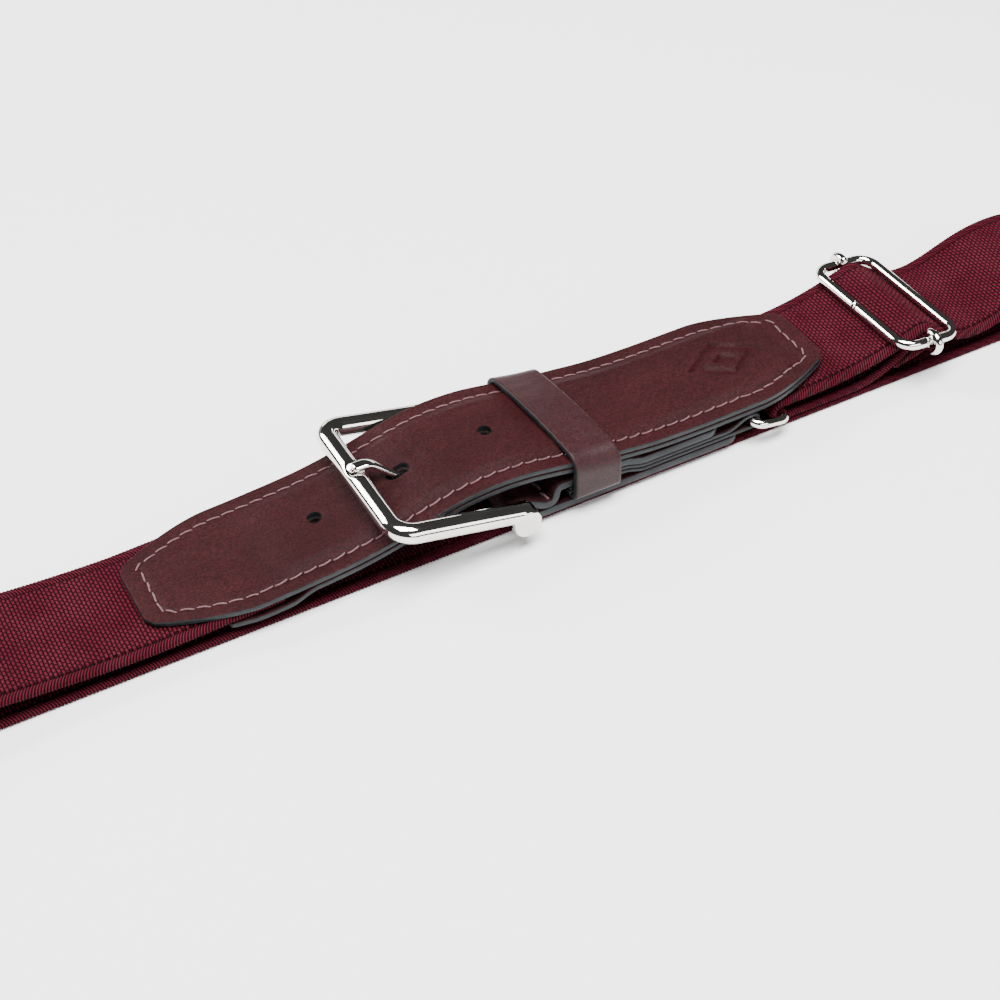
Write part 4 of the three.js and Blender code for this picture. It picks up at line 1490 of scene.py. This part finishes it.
    def holes(self) -> list[bpy.types.Object]:
        """Return cutters for the three punched holes.

        Returns:
            One cutter for each hole.
        """
        finishes = [self.palette.billet, self.palette.edge]
        places = [(self.prong_hole_x - self.hole_pitch, self.hole),
                  (self.prong_hole_x - 0.8, self.slot_length),
                  (self.prong_hole_x + self.hole_pitch, self.hole)]
        return [upright_cutter(f"punch_{i}", slot_outline(x, 0, length, self.hole), 0, 30, 1, finishes)
                for i, (x, length) in enumerate(places)]

    def build(self, stitches: Tree, filler: bpy.types.Object) -> None:
        """Build the billet's plies and stitching.

        Args:
            stitches: The tree that sews a row.
            filler: CAD object of the filler, which keeps its shape.
        """
        stack = self.stack
        lift = stack.filler + stack.gap

        def surface(x: np.ndarray, y: np.ndarray) -> np.ndarray:
            """Return the height of the billet's top."""
            return stack.bed(x) + stack.upper + lift * self.crown(x, y) + self.relief(x, y)

        def pocket(x: np.ndarray, y: np.ndarray) -> np.ndarray:
            """Return the underside of the upper ply."""
            return stack.bed(x) + lift * self.crown(x, y)

        def seat(x: np.ndarray, y: np.ndarray) -> np.ndarray:
            """Return the top of the lining, which steps down under the webbing's end."""
            end = self.left + self.strap_insert
            step = stack.strap + stack.gap
            return stack.bed(x) - stack.gap - step * (1 - smooth(x, end + 1, end + 9))

        upper = self.ply("billet_top_ply", self.left, surface, pocket, 0.7, 79)
        dress(carved(upper, self.holes()), Body.BELT, "leather", "billet_upper")
        lining = self.ply("billet_lining_ply", self.left + self.lining_start, seat,
                          lambda x, y: seat(x, y) - stack.lining, 1.6, 25)
        dress(carved(lining, self.holes()), Body.BELT, "leather", "billet_lining")
        filler.data.materials.clear()
        filler.data.materials.append(self.palette.board)

        first, last = self.left + self.inset, self.right - self.inset
        xs = np.concatenate([np.linspace(first, first + 6, 10), np.linspace(first + 8, last - 8, 120),
                             np.linspace(last - 6, last, 10)])
        side = self.half_width(xs) - 0.85 * self.inset
        outline = np.concatenate([np.column_stack([xs, side]), np.column_stack([xs[::-1], -side[::-1]])])
        heights = surface(outline[:, 0], outline[:, 1]) + 0.14
        points = np.column_stack([outline, heights])
        row = stitches.apply(guide_line("billet_row", points, True), "billet_stitches", {
            "Pitch": 4.1 * MM, "Length": 3.5 * MM, "Thread": self.thread * MM, "Slant": -0.12, "Seed": 11,
            "Finish": self.palette.thread})
        dress(row, Body.BELT, "thread", "billet_stitching")


# ---------------------------------------------------------------------------------------------
# Strips of leather in the chape
# ---------------------------------------------------------------------------------------------


@dataclass
class Strip:
    """A leather strip that follows a route, with rounded rims and painted edges."""

    name: str
    line: np.ndarray
    width: float
    thickness: Callable[[np.ndarray], np.ndarray]
    leather: bpy.types.Material
    edge: bpy.types.Material
    first_end: End = End.SQUARE
    last_end: End = End.SQUARE
    corner: float = 5.0
    step: float = 0.8

    def half_widths(self, along: np.ndarray) -> np.ndarray:
        """Return half the width at distances along the strip, less its rounded corners.

        Args:
            along: Distances along the strip.

        Returns:
            Half the width at each distance.
        """
        half = np.full_like(along, self.width / 2)
        for end, reach in ((self.first_end, along), (self.last_end, along[-1] - along)):
            if end is End.ROUNDED:
                cut = np.clip(self.corner - reach, 0, self.corner)
                half = np.minimum(half, self.width / 2 - self.corner + np.sqrt(self.corner**2 - cut**2))
        return half

    def build(self) -> bpy.types.Object:
        """Return the strip.

        Returns:
            The mesh object.
        """
        line, along = resampled(self.line, self.step)
        normals = left_normals(line)
        half = self.half_widths(along)
        thick = self.thickness(line[:, 0])
        share = np.linspace(-1, 1, 15)
        rings = []
        for i, point in enumerate(line):
            t, w = thick[i] / 2, half[i]
            r = min(0.35, 0.7 * t)
            turns = np.radians([25, 55])
            rounded = w - r + r * np.sin(turns)
            y = np.concatenate([share * (w - r), rounded, [w, w], rounded[::-1],
                                -share * (w - r), -rounded, [-w, -w], -rounded[::-1]])
            rim = t - r + r * np.cos(turns)
            h = np.concatenate([np.full(15, t), rim, [t - r, r - t], -rim[::-1],
                                np.full(15, -t), -rim, [r - t, t - r], rim[::-1]])
            rings.append(np.column_stack([point[0] + normals[i, 0] * h, y, point[1] + normals[i, 1] * h]))
        n = len(rings[0])
        faces = tube_faces(len(rings), n, False)
        rims = set(range(15, 20)) | set(range(36, 41))
        slots = [1 if (i % n) in rims else 0 for i in range((len(rings) - 1) * n)] + [1, 1]
        finishes = [self.leather, self.edge]
        return outward(make_object(self.name, np.concatenate(rings), faces, finishes, slots, sharp=60))


@dataclass
class Chape:
    """The strip that carries the buckle, the ring tab inside it and the crease stitches."""

    stack: Stack
    palette: Palette
    width: float = 40.0
    ring_x: float = 84.5
    ring_radius: float = 1.3
    crease: float = 9.5
    fold: float = 1.6
    prong_width: float = 3.2
    prong_thickness: float = 2.0
    keeper_left: float = 24.0
    keeper_right: float = 38.0
    keeper_skew: float = 1.6
    inset: float = 5.0

    def chape_route(self) -> np.ndarray:
        """Return the chape's middle line, from its upper end round the pivot to its lower end.

        Returns:
            Points in the XZ plane, one row each.
        """
        stack = self.stack
        px, pz = stack.pivot_x, stack.pivot_z
        high = stack.tab_high_top + stack.gap + stack.chape / 2
        low = stack.strap + stack.gap + stack.chape / 2
        crease = stack.chape_low_top + stack.gap + stack.chape / 2
        radius = stack.pivot_radius + stack.gap + self.fold / 2
        crease_x = px + self.crease
        rise_right = self.keeper_right + 2 + self.keeper_skew
        rise_end = self.keeper_right + 10 + self.keeper_skew
        raised = high + stack.keeper_lift
        lift = self.keeper_left - self.keeper_skew
        route = Route(self.ring_x - 10, high).line(rise_end, high)
        route.bezier((rise_end - 3, high), (rise_right + 3, raised), (rise_right, raised))
        route.line(lift, raised)
        route.bezier((lift - 2, raised), (crease_x + 3, crease), (crease_x + 0.6, crease))
        route.line(crease_x, crease)
        route.bezier((crease_x - 3, crease), (px + 5, pz + radius), (px, pz + radius))
        route.arc((px, pz), radius, math.pi / 2, 3 * math.pi / 2)
        route.bezier((px + 3, pz - radius), (px + 5, low), (px + 9, low))
        return route.line(self.ring_x - 3, low).array()

    def tab_route(self) -> np.ndarray:
        """Return the ring tab's middle line, from its lower end round the ring to its upper end.

        Returns:
            Points in the XZ plane, one row each.
        """
        stack = self.stack
        ring_z = stack.tab_low_top + stack.gap + self.ring_radius
        radius = self.ring_radius + stack.gap + stack.tab / 2
        low, high = stack.tab_low_top - stack.tab / 2, stack.tab_high_top - stack.tab / 2
        lift = stack.keeper_lift
        first = self.keeper_left + 1
        rise_right = self.keeper_right + 2 + self.keeper_skew
        rise_end = self.keeper_right + 10 + self.keeper_skew
        quarter = math.pi / 2
        route = Route(first, low + lift).line(rise_right, low + lift)
        route.bezier((rise_right + 3, low + lift), (rise_end - 3, low), (rise_end, low))
        route.line(self.ring_x, ring_z - radius)
        route.arc((self.ring_x, ring_z), radius, -quarter, quarter)
        route.bezier((self.ring_x - 4, ring_z + radius), (self.ring_x - 5, high), (self.ring_x - 9, high))
        route.line(rise_end, high)
        route.bezier((rise_end - 3, high), (rise_right + 3, high + lift), (rise_right, high + lift))
        return route.line(first, high + lift).array()

    def build(self, stitches: Tree) -> None:
        """Build the chape, the ring tab and the crease stitches.

        Args:
            stitches: The tree that sews a row.
        """
        stack = self.stack
        px = stack.pivot_x
        look = self.palette

        def skived(x: np.ndarray) -> np.ndarray:
            """Return the chape's thickness, thinner where it folds round the pivot."""
            return self.fold + (stack.chape - self.fold) * smooth(x, px + 1, px + 8)

        strip = Strip("chape_strip", self.chape_route(), self.width, skived, look.tab, look.edge,
                      End.ROUNDED, End.ROUNDED).build()
        eye = stack.pivot_radius + stack.gap + self.prong_thickness
        length = 2 * eye + 4
        slot = upright_cutter("prong_slot", slot_outline(
            px - eye - 1 + length / 2, 0, length, self.prong_width + 1.6), -2, 22, 1, [look.tab, look.edge])
        dress(carved(strip, [slot]), Body.BELT, "leather", "chape")
        tab = Strip("ring_tab_strip", self.tab_route(), self.width - 0.4,
                    lambda x: np.full_like(x, stack.tab), look.tab, look.edge).build()
        dress(tab, Body.BELT, "leather", "ring_tab")

        top = stack.chape_low_top + stack.gap + stack.chape
        reach = self.width / 2 - self.inset + 2.2
        ys = np.linspace(-reach, reach, 24)
        points = np.column_stack([np.full_like(ys, px + self.crease), ys, np.full_like(ys, top + 0.25)])
        row = stitches.apply(guide_line("crease_row", points, False), "crease_stitches", {
            "Pitch": 3.9 * MM, "Length": 3.2 * MM, "Thread": 0.75 * MM, "Slant": 0.2, "Seed": 3,
            "Finish": look.thread})
        dress(row, Body.BELT, "thread", "crease_stitching")


@dataclass
class Keeper:
    """The leather band that holds the billet's tip down."""

    stack: Stack
    palette: Palette
    billet: Billet
    left: float = 24.0
    band: float = 14.0
    ply: float = 1.9
    clearance: float = 0.5
    slack: float = 0.4
    skew: float = 1.6
    shoulder: float = 2.2
    outer_shoulder: float = 5.4
    roll: float = 0.7
    bow: float = 0.9
    heel: float = 1.2

    def rim(self, x: float) -> tuple[np.ndarray, np.ndarray]:
        """Return the inner and outer outlines of the band at a distance from its left rim.

        Args:
            x: The distance from the left rim.

        Returns:
            The two outlines, one point a row.
        """
        stack = self.stack
        inner = self.billet.width / 2 + self.clearance
        low = stack.chape_low_top + stack.gap + stack.keeper_skived
        inside, outside = [], []
        for side, level, radius, start in ((1, 1, self.shoulder, 0), (-1, 1, self.shoulder, 90),
                                           (-1, -1, self.heel, 180), (1, -1, self.heel, 270)):
            at = x - side * self.skew
            high = float(stack.bed(at)) + stack.upper + stack.filler + stack.gap + self.slack - self.roll
            shapes = [(inside, 0.0, 0.0, radius, radius)]
            if level > 0:
                shapes.append((outside, self.ply, self.ply, self.outer_shoulder, self.outer_shoulder))
            else:
                shapes.append((outside, self.ply, stack.keeper_skived,
                               radius + self.ply, radius + stack.keeper_skived))
            for turn in np.radians(start + np.linspace(0, 90, 12)):
                c, s = math.cos(turn), math.sin(turn)
                for outline, out, up, wide, tall in shapes:
                    beside = side * (inner + out - wide) + wide * c
                    z = high + up - tall if level > 0 else low - up + tall
                    outline.append((x - self.skew * beside / inner, beside, z + tall * s))
        return self.fill(np.array(inside), self.bow), self.fill(np.array(outside), self.bow)

    @staticmethod
    def fill(outline: np.ndarray, bow: float) -> np.ndarray:
        """Return an outline with points added along its four straight runs, the top run bowed up.

        Args:
            outline: The outline's points.
            bow: How far the top run is bowed up.

        Returns:
            The outline with its added points.
        """
        parts = []
        for corner in range(4):
            parts.append(outline[12 * corner:12 * corner + 12])
            a = outline[12 * corner + 11]
            b = outline[(12 * corner + 12) % 48]
            count = 15 if corner in (0, 2) else 5
            t = np.linspace(0, 1, count + 2)[1:-1, None]
            run = a + (b - a) * t
            if corner == 0:
                run[:, 2] += bow * np.sin(math.pi * t[:, 0])
            parts.append(run)
        return np.concatenate(parts)

    def build(self) -> None:
        """Build the band with its rough cut rims."""
        r = 0.4
        places = [(0, 0.2), (0, 0.55), (0, 0.8), (0.12, 0.94), (0.4, 1.0)]
        top = [(u, 1.0) for u in np.linspace(0.9, self.band - 0.9, 9)]
        mirrored = [(self.band - u, h) for u, h in reversed(places)]
        low = [(self.band - 0.15, 0.0), (self.band - r, 0.0), (self.band / 2, 0.0), (r, 0.0), (0.15, 0.0)]
        section = places + top + mirrored + low
        rings = []
        for u, h in section:
            inside, outside = self.rim(self.left + u)
            rings.append(inside + (outside - inside) * h)
        across = np.stack(rings, 1)
        n = len(section)
        points = across.reshape(-1, 3)
        faces = tube_faces(len(across), n, True)
        edges = {0, 1, 2, n - 1} | set(range(5 + 9 + 1, 5 + 9 + 5 + 1))
        slots = [1 if (i % n) in edges else 0 for i in range(len(faces))]
        finishes = [self.palette.keeper, self.palette.rough_edge]
        band = make_object("keeper_band", points, faces, finishes, slots, sharp=65)
        dress(outward(band), Body.KEEPER, "keeper_leather", "keeper_loop")


# ---------------------------------------------------------------------------------------------
# Metal
# ---------------------------------------------------------------------------------------------


def swept(points: np.ndarray, plane: np.ndarray, half_across: np.ndarray, half_up: np.ndarray,
          sides: int, power: float = 2.0, closed: bool = False) -> tuple[np.ndarray, list]:
    """Sweep a rounded section along points.

    Args:
        points: Middle line.
        plane: Direction that stays upright in the section, one or one for each point.
        half_across: Half the section's size across, at each point.
        half_up: Half its size along the upright direction, at each point.
        sides: Corners of the section.
        power: 2 for an ellipse, more for a squarer section.
        closed: Whether the line closes on itself.

    Returns:
        Corner positions and faces.
    """
    if closed:
        along = np.roll(points, -1, 0) - np.roll(points, 1, 0)
    else:
        along = np.gradient(points, axis=0)
    along /= np.linalg.norm(along, axis=1, keepdims=True)
    up = np.broadcast_to(plane, points.shape)
    across = np.cross(along, up)
    across /= np.linalg.norm(across, axis=1, keepdims=True)
    turns = (np.arange(sides) + 0.5) / sides * 2 * math.pi
    c = np.sign(np.cos(turns)) * np.abs(np.cos(turns)) ** (2 / power)
    s = np.sign(np.sin(turns)) * np.abs(np.sin(turns)) ** (2 / power)
    rings = (points[:, None] + across[:, None] * (half_across[:, None] * c)[..., None]
             + up[:, None] * (half_up[:, None] * s)[..., None])
    return rings.reshape(-1, 3), tube_faces(len(points), sides, closed)


@dataclass
class Buckle:
    """The cast frame with its lugs, the pivot bar and the prong."""

    stack: Stack
    palette: Palette
    billet: Billet
    reach: float = 36.6
    clearance: float = 1.0
    front_lift: float = 1.6
    frame_width: float = 6.0
    frame_height: float = 5.6
    corner: float = 5.2
    lug_length: float = 8.3
    lug_height: float = 8.9
    notch: float = 1.1
    drift: float = 2.2
    shank_droop: float = 1.6
    seat: float = 3.2
    prong_width: float = 3.2
    prong_thickness: float = 2.0
    voxel: float = 0.26

    @property
    def arm(self) -> float:
        """Distance of the arms' middles from the belt's centre line."""
        return self.billet.width / 2 + self.clearance + self.frame_width / 2

    @property
    def front(self) -> np.ndarray:
        """Middle of the front bar in the XZ plane.

        Returns:
            The point.
        """
        x = self.stack.pivot_x - self.reach
        top = float(self.stack.bed(x)) + self.stack.upper + self.stack.filler + self.stack.gap
        return np.array([x, top + self.front_lift + self.frame_height / 2])

    def sweep_path(self) -> tuple[np.ndarray, np.ndarray]:
        """Return the frame's middle line and the normal of its plane.

        Returns:
            The line's points and the unit normal.
        """
        end = np.array([self.stack.pivot_x + 1, self.stack.pivot_z + 4.4])
        slope = (self.front[1] - end[1]) / (end[0] - self.front[0])
        turns = np.radians(np.linspace(0, 90, 14))
        xs = np.concatenate([np.linspace(end[0], self.front[0] + self.corner + 1, 20),
                             self.front[0] + self.corner * (1 - np.sin(turns))])
        ys = np.concatenate([np.full(20, self.arm), self.arm - self.corner * (1 - np.cos(turns))])
        near = np.column_stack([xs, -ys])
        middle = np.column_stack([np.full(12, self.front[0]), np.linspace(-ys[-1], ys[-1], 14)[1:-1]])
        plan = np.concatenate([near, middle, np.column_stack([xs, ys])[::-1]])
        heights = end[1] + slope * (end[0] - plan[:, 0])
        plane = np.array([slope, 0, 1]) / math.hypot(slope, 1)
        return np.column_stack([plan, heights]), plane

    def lug(self, side: int) -> tuple[np.ndarray, list]:
        """Return a rounded oval lug that hangs from an arm's end.

        Args:
            side: -1 for the near arm, 1 for the far arm.

        Returns:
            Corner positions and faces.
        """
        height = self.stack.pivot_z + self.lug_height / 2 - 2.15
        middle = np.array([self.stack.pivot_x - 0.4, side * self.arm, height])
        half = self.frame_width / 2 - 0.05
        offsets = half * np.array([-1, -0.985, -0.93, -0.82, -0.65, -0.3, 0.3, 0.65, 0.82, 0.93, 0.985, 1])
        turns = np.linspace(0, 2 * math.pi, 48, endpoint=False)
        tilt = math.radians(-14)
        rings = []
        for y in offsets:
            grow = (1 - min(abs(y) / half, 0.9995) ** 4.5) ** (1 / 4.5)
            a = (self.lug_length / 2 - 1.3) + 1.3 * grow
            b = (self.lug_height / 2 - 1.3) + 1.3 * grow
            u, v = a * np.cos(turns), b * np.sin(turns)
            x = u * math.cos(tilt) - v * math.sin(tilt)
            z = u * math.sin(tilt) + v * math.cos(tilt)
            rings.append(middle + np.column_stack([x, np.full_like(x, y), z]))
        return np.concatenate(rings), tube_faces(len(rings), 48, False)

    def frame(self) -> None:
        """Cast the frame: a swept bar and two lugs grown into one smooth body."""
        path, plane = self.sweep_path()
        halves = np.full(len(path), self.frame_width / 2), np.full(len(path), self.frame_height / 2)
        parts = [swept(path, plane, *halves, 40), self.lug(-1), self.lug(1)]
        points, faces, start = [], [], 0
        for corners, shape in parts:
            points.append(corners)
            faces += [[i + start for i in face] for face in shape]
            start += len(corners)
        blank = make_object("frame_blank", np.concatenate(points) / MM, faces)
        modifier = blank.modifiers.new("grow", "REMESH")
        modifier.mode = "VOXEL"
        modifier.voxel_size = self.voxel
        relax = blank.modifiers.new("relax", "SMOOTH")
        relax.factor = 0.5
        relax.iterations = 12
        frame = evaluated(blank, "buckle_casting")
        corners = np.array([v.co for v in frame.data.vertices], float)
        front = self.front
        dip = (ridge(corners[:, 1] - self.drift, 1.9)
               * smooth(corners[:, 2], front[1] + 0.4, front[1] + self.frame_height / 2)
               * smooth(corners[:, 0], front[0] - 3.2, front[0] - 0.4) * (corners[:, 0] < front[0] + 6))
        corners[:, 2] -= (self.notch + 0.2) * dip
        frame.data.vertices.foreach_set("co", (corners * MM).astype(np.float32).ravel())
        frame.data.materials.clear()
        frame.data.materials.append(self.palette.nickel)
        frame.data.shade_smooth()
        frame.data.update()
        dress(frame, Body.BUCKLE, "nickel", "buckle_frame")

    def prong(self) -> None:
        """Forge the prong: an eye round the pivot bar, a shank, a dog-leg and a flat tip."""
        stack = self.stack
        px, pz = stack.pivot_x, stack.pivot_z
        eye = stack.pivot_radius + stack.gap + self.prong_thickness / 2
        front = self.front
        rest = front[1] + self.frame_height / 2 - self.notch + stack.gap + self.prong_thickness / 2
        hole = self.billet.prong_hole_x
        rise = (hole - 1.4, float(stack.bed(hole)) + stack.upper)
        bend = hole + 7
        route = Route(px + eye * math.cos(math.radians(-150)), pz + eye * math.sin(math.radians(-150)))
        route.arc((px, pz), eye, math.radians(-150), math.pi / 2, 40)
        route.line(bend, pz + eye - self.shank_droop)
        route.bezier((bend - 5, pz + eye - self.shank_droop), (rise[0] + 1.8, rise[1] - 4.6), rise)
        route.bezier((rise[0] - 2.6, rise[1] + 1.7), (front[0] + 5.2, rest), (front[0] + 2.6, rest))
        route.line(front[0] - 0.6, rest)
        line, along = resampled(route.array(), 0.35)
        y = self.drift * (1 - smooth(line[:, 0], front[0] + 2, rise[0] + 1.5))
        left = along[-1] - along
        cap = np.sqrt(np.clip(1 - (1 - np.clip(left / 1.1, 0, 1)) ** 2, 0.04, 1))
        tongue = smooth(left, 3.0, 6.5)
        width = self.prong_width / 2 * (0.98 + 0.12 * (1 - tongue)) * cap
        thick = self.prong_thickness / 2 * (0.93 - 0.13 * (1 - tongue)) * np.clip(cap, 0.45, 1)
        path = np.column_stack([line[:, 0], y, line[:, 1]])
        points, faces = swept(path, np.array([0.0, 1.0, 0.0]), thick, width, 28, 2.7)
        piece = outward(make_object("prong_tongue", points, faces, [self.palette.nickel], sharp=70))
        dress(piece, Body.PRONG, "nickel", "buckle_prong")

    def build(self, wires: Tree) -> None:
        """Build the frame, its pivot bar and the prong.

        Args:
            wires: The tree that draws a round bar.
        """
        self.frame()
        half = self.billet.width / 2 + self.clearance + self.seat
        ys = np.concatenate([[-half, -half + 0.12, -half + 0.35], np.linspace(-half + 1, half - 1, 30),
                             [half - 0.35, half - 0.12, half]])
        share = np.interp(np.abs(ys), [half - 0.35, half - 0.12, half], [1, 0.96, 0.82])
        points = np.column_stack([
            np.full_like(ys, self.stack.pivot_x), ys, np.full_like(ys, self.stack.pivot_z)])
        bar = wires.apply(guide_line("pivot_line", points, False, share), "pivot_bar", {
            "Radius": self.stack.pivot_radius * MM, "Sides": 40, "Finish": self.palette.nickel})
        dress(bar, Body.BUCKLE, "nickel", "buckle_bar")
        self.prong()


def wire_loop(left: np.ndarray, right: np.ndarray, half: float, corner: float) -> np.ndarray:
    """Return a closed rounded rectangle whose long sides run across the belt.

    Args:
        left: Middle of the left long side in the XZ plane.
        right: Middle of the right long side.
        half: Half the length of the long sides, over their middles.
        corner: Radius of the corners.

    Returns:
        Points round the loop, starting on the right side.
    """
    middle = (left + right) / 2
    span = np.linalg.norm(right - left)
    along = (right - left) / span
    outline = []
    for sx, sy, start in ((1, 1, 0), (-1, 1, 90), (-1, -1, 180), (1, -1, 270)):
        for turn in np.radians(start + np.linspace(0, 90, 13)):
            outline.append((sx * (span / 2 - corner) + corner * math.cos(turn),
                            sy * (half - corner) + corner * math.sin(turn)))
    flat = np.array(outline)
    closed = np.concatenate([flat, flat[:1]])
    fine, _ = resampled(closed, 0.25)
    fine = fine[:-1]
    return np.column_stack([
        middle[0] + fine[:, 0] * along[0], fine[:, 1], middle[1] + fine[:, 0] * along[1]])


@dataclass
class Ring:
    """The wire ring that joins the chape to the webbing."""

    stack: Stack
    palette: Palette
    strap: Strap
    x: float = 84.5
    wire: float = 2.6
    corner: float = 3.0

    def build(self, wires: Tree) -> None:
        """Bend the ring from wire.

        Args:
            wires: The tree that draws a round wire.
        """
        z = self.stack.tab_low_top + self.stack.gap + self.wire / 2
        half = 20 + 2 * self.stack.gap + self.wire / 2
        far = np.array([self.strap.ring_x, self.strap.ring_z])
        loop = wire_loop(np.array([self.x, z]), far, half, self.corner)
        ring = wires.apply(guide_line("ring_line", loop, True), "ring_wire", {
            "Radius": self.wire / 2 * MM, "Sides": 24, "Finish": self.palette.nickel})
        dress(ring, Body.RING, "nickel", "tab_ring")


@dataclass
class Slide:
    """The wire length adjuster: a closed frame with a butt seam, and a centre bar hooked on it."""

    stack: Stack
    palette: Palette
    strap: Strap
    corner: float = 5.0
    clearance: float = 1.5
    seam_y: float = 1.0

    def build(self, wires: Tree) -> None:
        """Bend the frame and the centre bar from wire.

        Args:
            wires: The tree that draws a round wire.
        """
        left, centre, right = self.strap.slide_bars()
        radius = self.strap.slide_wire / 2
        half = self.strap.width / 2 + self.clearance + radius
        loop = wire_loop(left, right, half, self.corner)
        on_left = np.hypot(loop[:, 0] - left[0], loop[:, 2] - left[1]) < 0.5
        off = np.where(on_left, np.abs(loop[:, 1] - self.seam_y), 99)
        share = 1 + 0.10 * ridge(off - 0.55, 0.35) - 0.16 * ridge(off, 0.22)
        frame = wires.apply(guide_line("slide_line", loop, True, share), "slide_wire", {
            "Radius": radius * MM, "Sides": 28, "Finish": self.palette.nickel})
        dress(frame, Body.SLIDE, "nickel", "slide_frame")

        inner = self.strap.centre_wire / 2
        curl = radius + self.stack.gap + inner
        rest = self.strap.centre_z + inner + self.stack.gap + radius
        turns = np.radians(np.linspace(-90, 130, 36))
        flat = np.where(np.sin(turns) > 0, 0.72, 1.0)
        eye = np.column_stack([half + curl * np.cos(turns), rest + flat * curl * np.sin(turns)])
        straight = np.column_stack([
            np.linspace(-half + 1, half - 1, 30), np.full(30, self.strap.centre_z)])
        bar = np.concatenate([eye[::-1] * (-1, 1), straight, eye])
        fine, along = resampled(bar, 0.4)
        reach = np.minimum(along, along[-1] - along)
        taper = np.interp(reach, [0, 0.25, 0.8], [0.72, 0.92, 1.0])
        points = np.column_stack([np.full(len(fine), centre[0]), fine])
        piece = wires.apply(guide_line("centre_line", points, False, taper), "slide_hook_bar", {
            "Radius": inner * MM, "Sides": 24, "Finish": self.palette.nickel})
        dress(piece, Body.SLIDE, "nickel", "slide_centre_bar")


# ---------------------------------------------------------------------------------------------
# Studio
# ---------------------------------------------------------------------------------------------


@dataclass
class Studio:
    """Camera, floor and soft lights."""

    palette: Palette
    position: tuple[float, float, float] = (-0.14982, -0.31388, 0.32140)
    pitch: float = 42.803
    heading: float = 27.571
    roll: float = 1.364
    lens: float = 61.94

    def camera(self) -> None:
        """Place the camera over the near side of the belt, looking down along it."""
        p, y, r = (math.radians(a) for a in (self.pitch, self.heading, self.roll))
        forward = Vector((math.cos(p) * math.sin(y), math.cos(p) * math.cos(y), -math.sin(p)))
        level = Vector((math.cos(y), -math.sin(y), 0))
        low = Vector((-math.sin(p) * math.sin(y), -math.sin(p) * math.cos(y), -math.cos(p)))
        right = math.cos(r) * level + math.sin(r) * low
        down = -math.sin(r) * level + math.cos(r) * low
        data = bpy.data.cameras.new("camera")
        data.lens = self.lens
        data.sensor_width = 36
        data.clip_start = 0.01
        data.clip_end = 20
        thing = bpy.data.objects.new("camera", data)
        turn = Matrix((right, -down, -forward)).transposed()
        thing.matrix_world = Matrix.Translation(self.position) @ turn.to_4x4()
        bpy.context.scene.collection.objects.link(thing)
        bpy.context.scene.camera = thing

    def light(self, name: str, place: Sequence[float], target: Sequence[float], size: tuple[float, float],
              power: float) -> None:
        """Hang a softbox.

        Args:
            name: Name of the light.
            place: Where it hangs, in metres.
            target: What it faces.
            size: Its width and height.
            power: Its power in watts.
        """
        data = bpy.data.lights.new(name, "AREA")
        data.shape = "RECTANGLE"
        data.size, data.size_y = size
        data.energy = power
        thing = bpy.data.objects.new(name, data)
        thing.location = place
        thing.rotation_euler = (Vector(target) - Vector(place)).to_track_quat("-Z", "Y").to_euler()
        bpy.context.scene.collection.objects.link(thing)

    def floor(self) -> None:
        """Lay the paper floor, level round the belt and swept up far behind it."""
        sweep = np.radians(np.linspace(6, 90, 14))
        steps = np.concatenate([np.linspace(-3, 2.4, 28), 2.4 + 1.2 * np.sin(sweep)])
        rise = np.concatenate([np.zeros(28), 1.2 * (1 - np.cos(sweep))])
        columns = np.linspace(-3, 3, 25)
        points = [(x * 1000, y * 1000, z * 1000 - 0.05) for y, z in zip(steps, rise) for x in columns]
        n = len(columns)
        faces = [(i * n + j, i * n + j + 1, (i + 1) * n + j + 1, (i + 1) * n + j)
                 for i in range(len(steps) - 1) for j in range(n - 1)]
        paper = make_object("studio_floor", np.array(points), faces, [self.palette.paper])

    def build(self) -> None:
        """Set up the studio."""
        self.camera()
        self.floor()
        world = bpy.data.worlds.new("studio_world")
        world.use_nodes = True
        background = world.node_tree.nodes["Background"]
        background.inputs["Color"].default_value = (1, 1, 1, 1)
        background.inputs["Strength"].default_value = 0.055
        bpy.context.scene.world = world
        self.light("overhead_softbox", (0.02, -0.20, 1.25), (0, 0, 0), (1.2, 0.65), 62)
        self.light("left_softbox", (-0.78, 0.92, 0.80), (0, 0, 0.02), (0.72, 0.75), 33)
        self.light("front_softbox", (0.30, -1.05, 0.52), (0, 0, 0.02), (1.1, 0.5), 9)
        self.light("rim_softbox", (0.55, 1.20, 0.30), (0.05, 0, 0), (1.2, 0.14), 2.5)


def main() -> None:
    """Build the belt's looks, sub-assembly by sub-assembly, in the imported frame."""
    logging.basicConfig(level=logging.INFO, format="%(message)s")
    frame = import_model()
    palette = Palette()
    stack = Stack()
    wires, stitches = wire_tree(), stitch_tree()
    Studio(palette).build()
    strap = Strap(stack, palette)
    strap.build(stitches)
    billet = Billet(stack, palette)
    billet.build(stitches, frame["nodes"]["billet_filler"])
    Chape(stack, palette).build(stitches)
    Keeper(stack, palette, billet).build()
    Buckle(stack, palette, billet).build(wires)
    Ring(stack, palette, strap).build(wires)
    Slide(stack, palette, strap).build(wires)


if __name__ == "__main__":
    main()
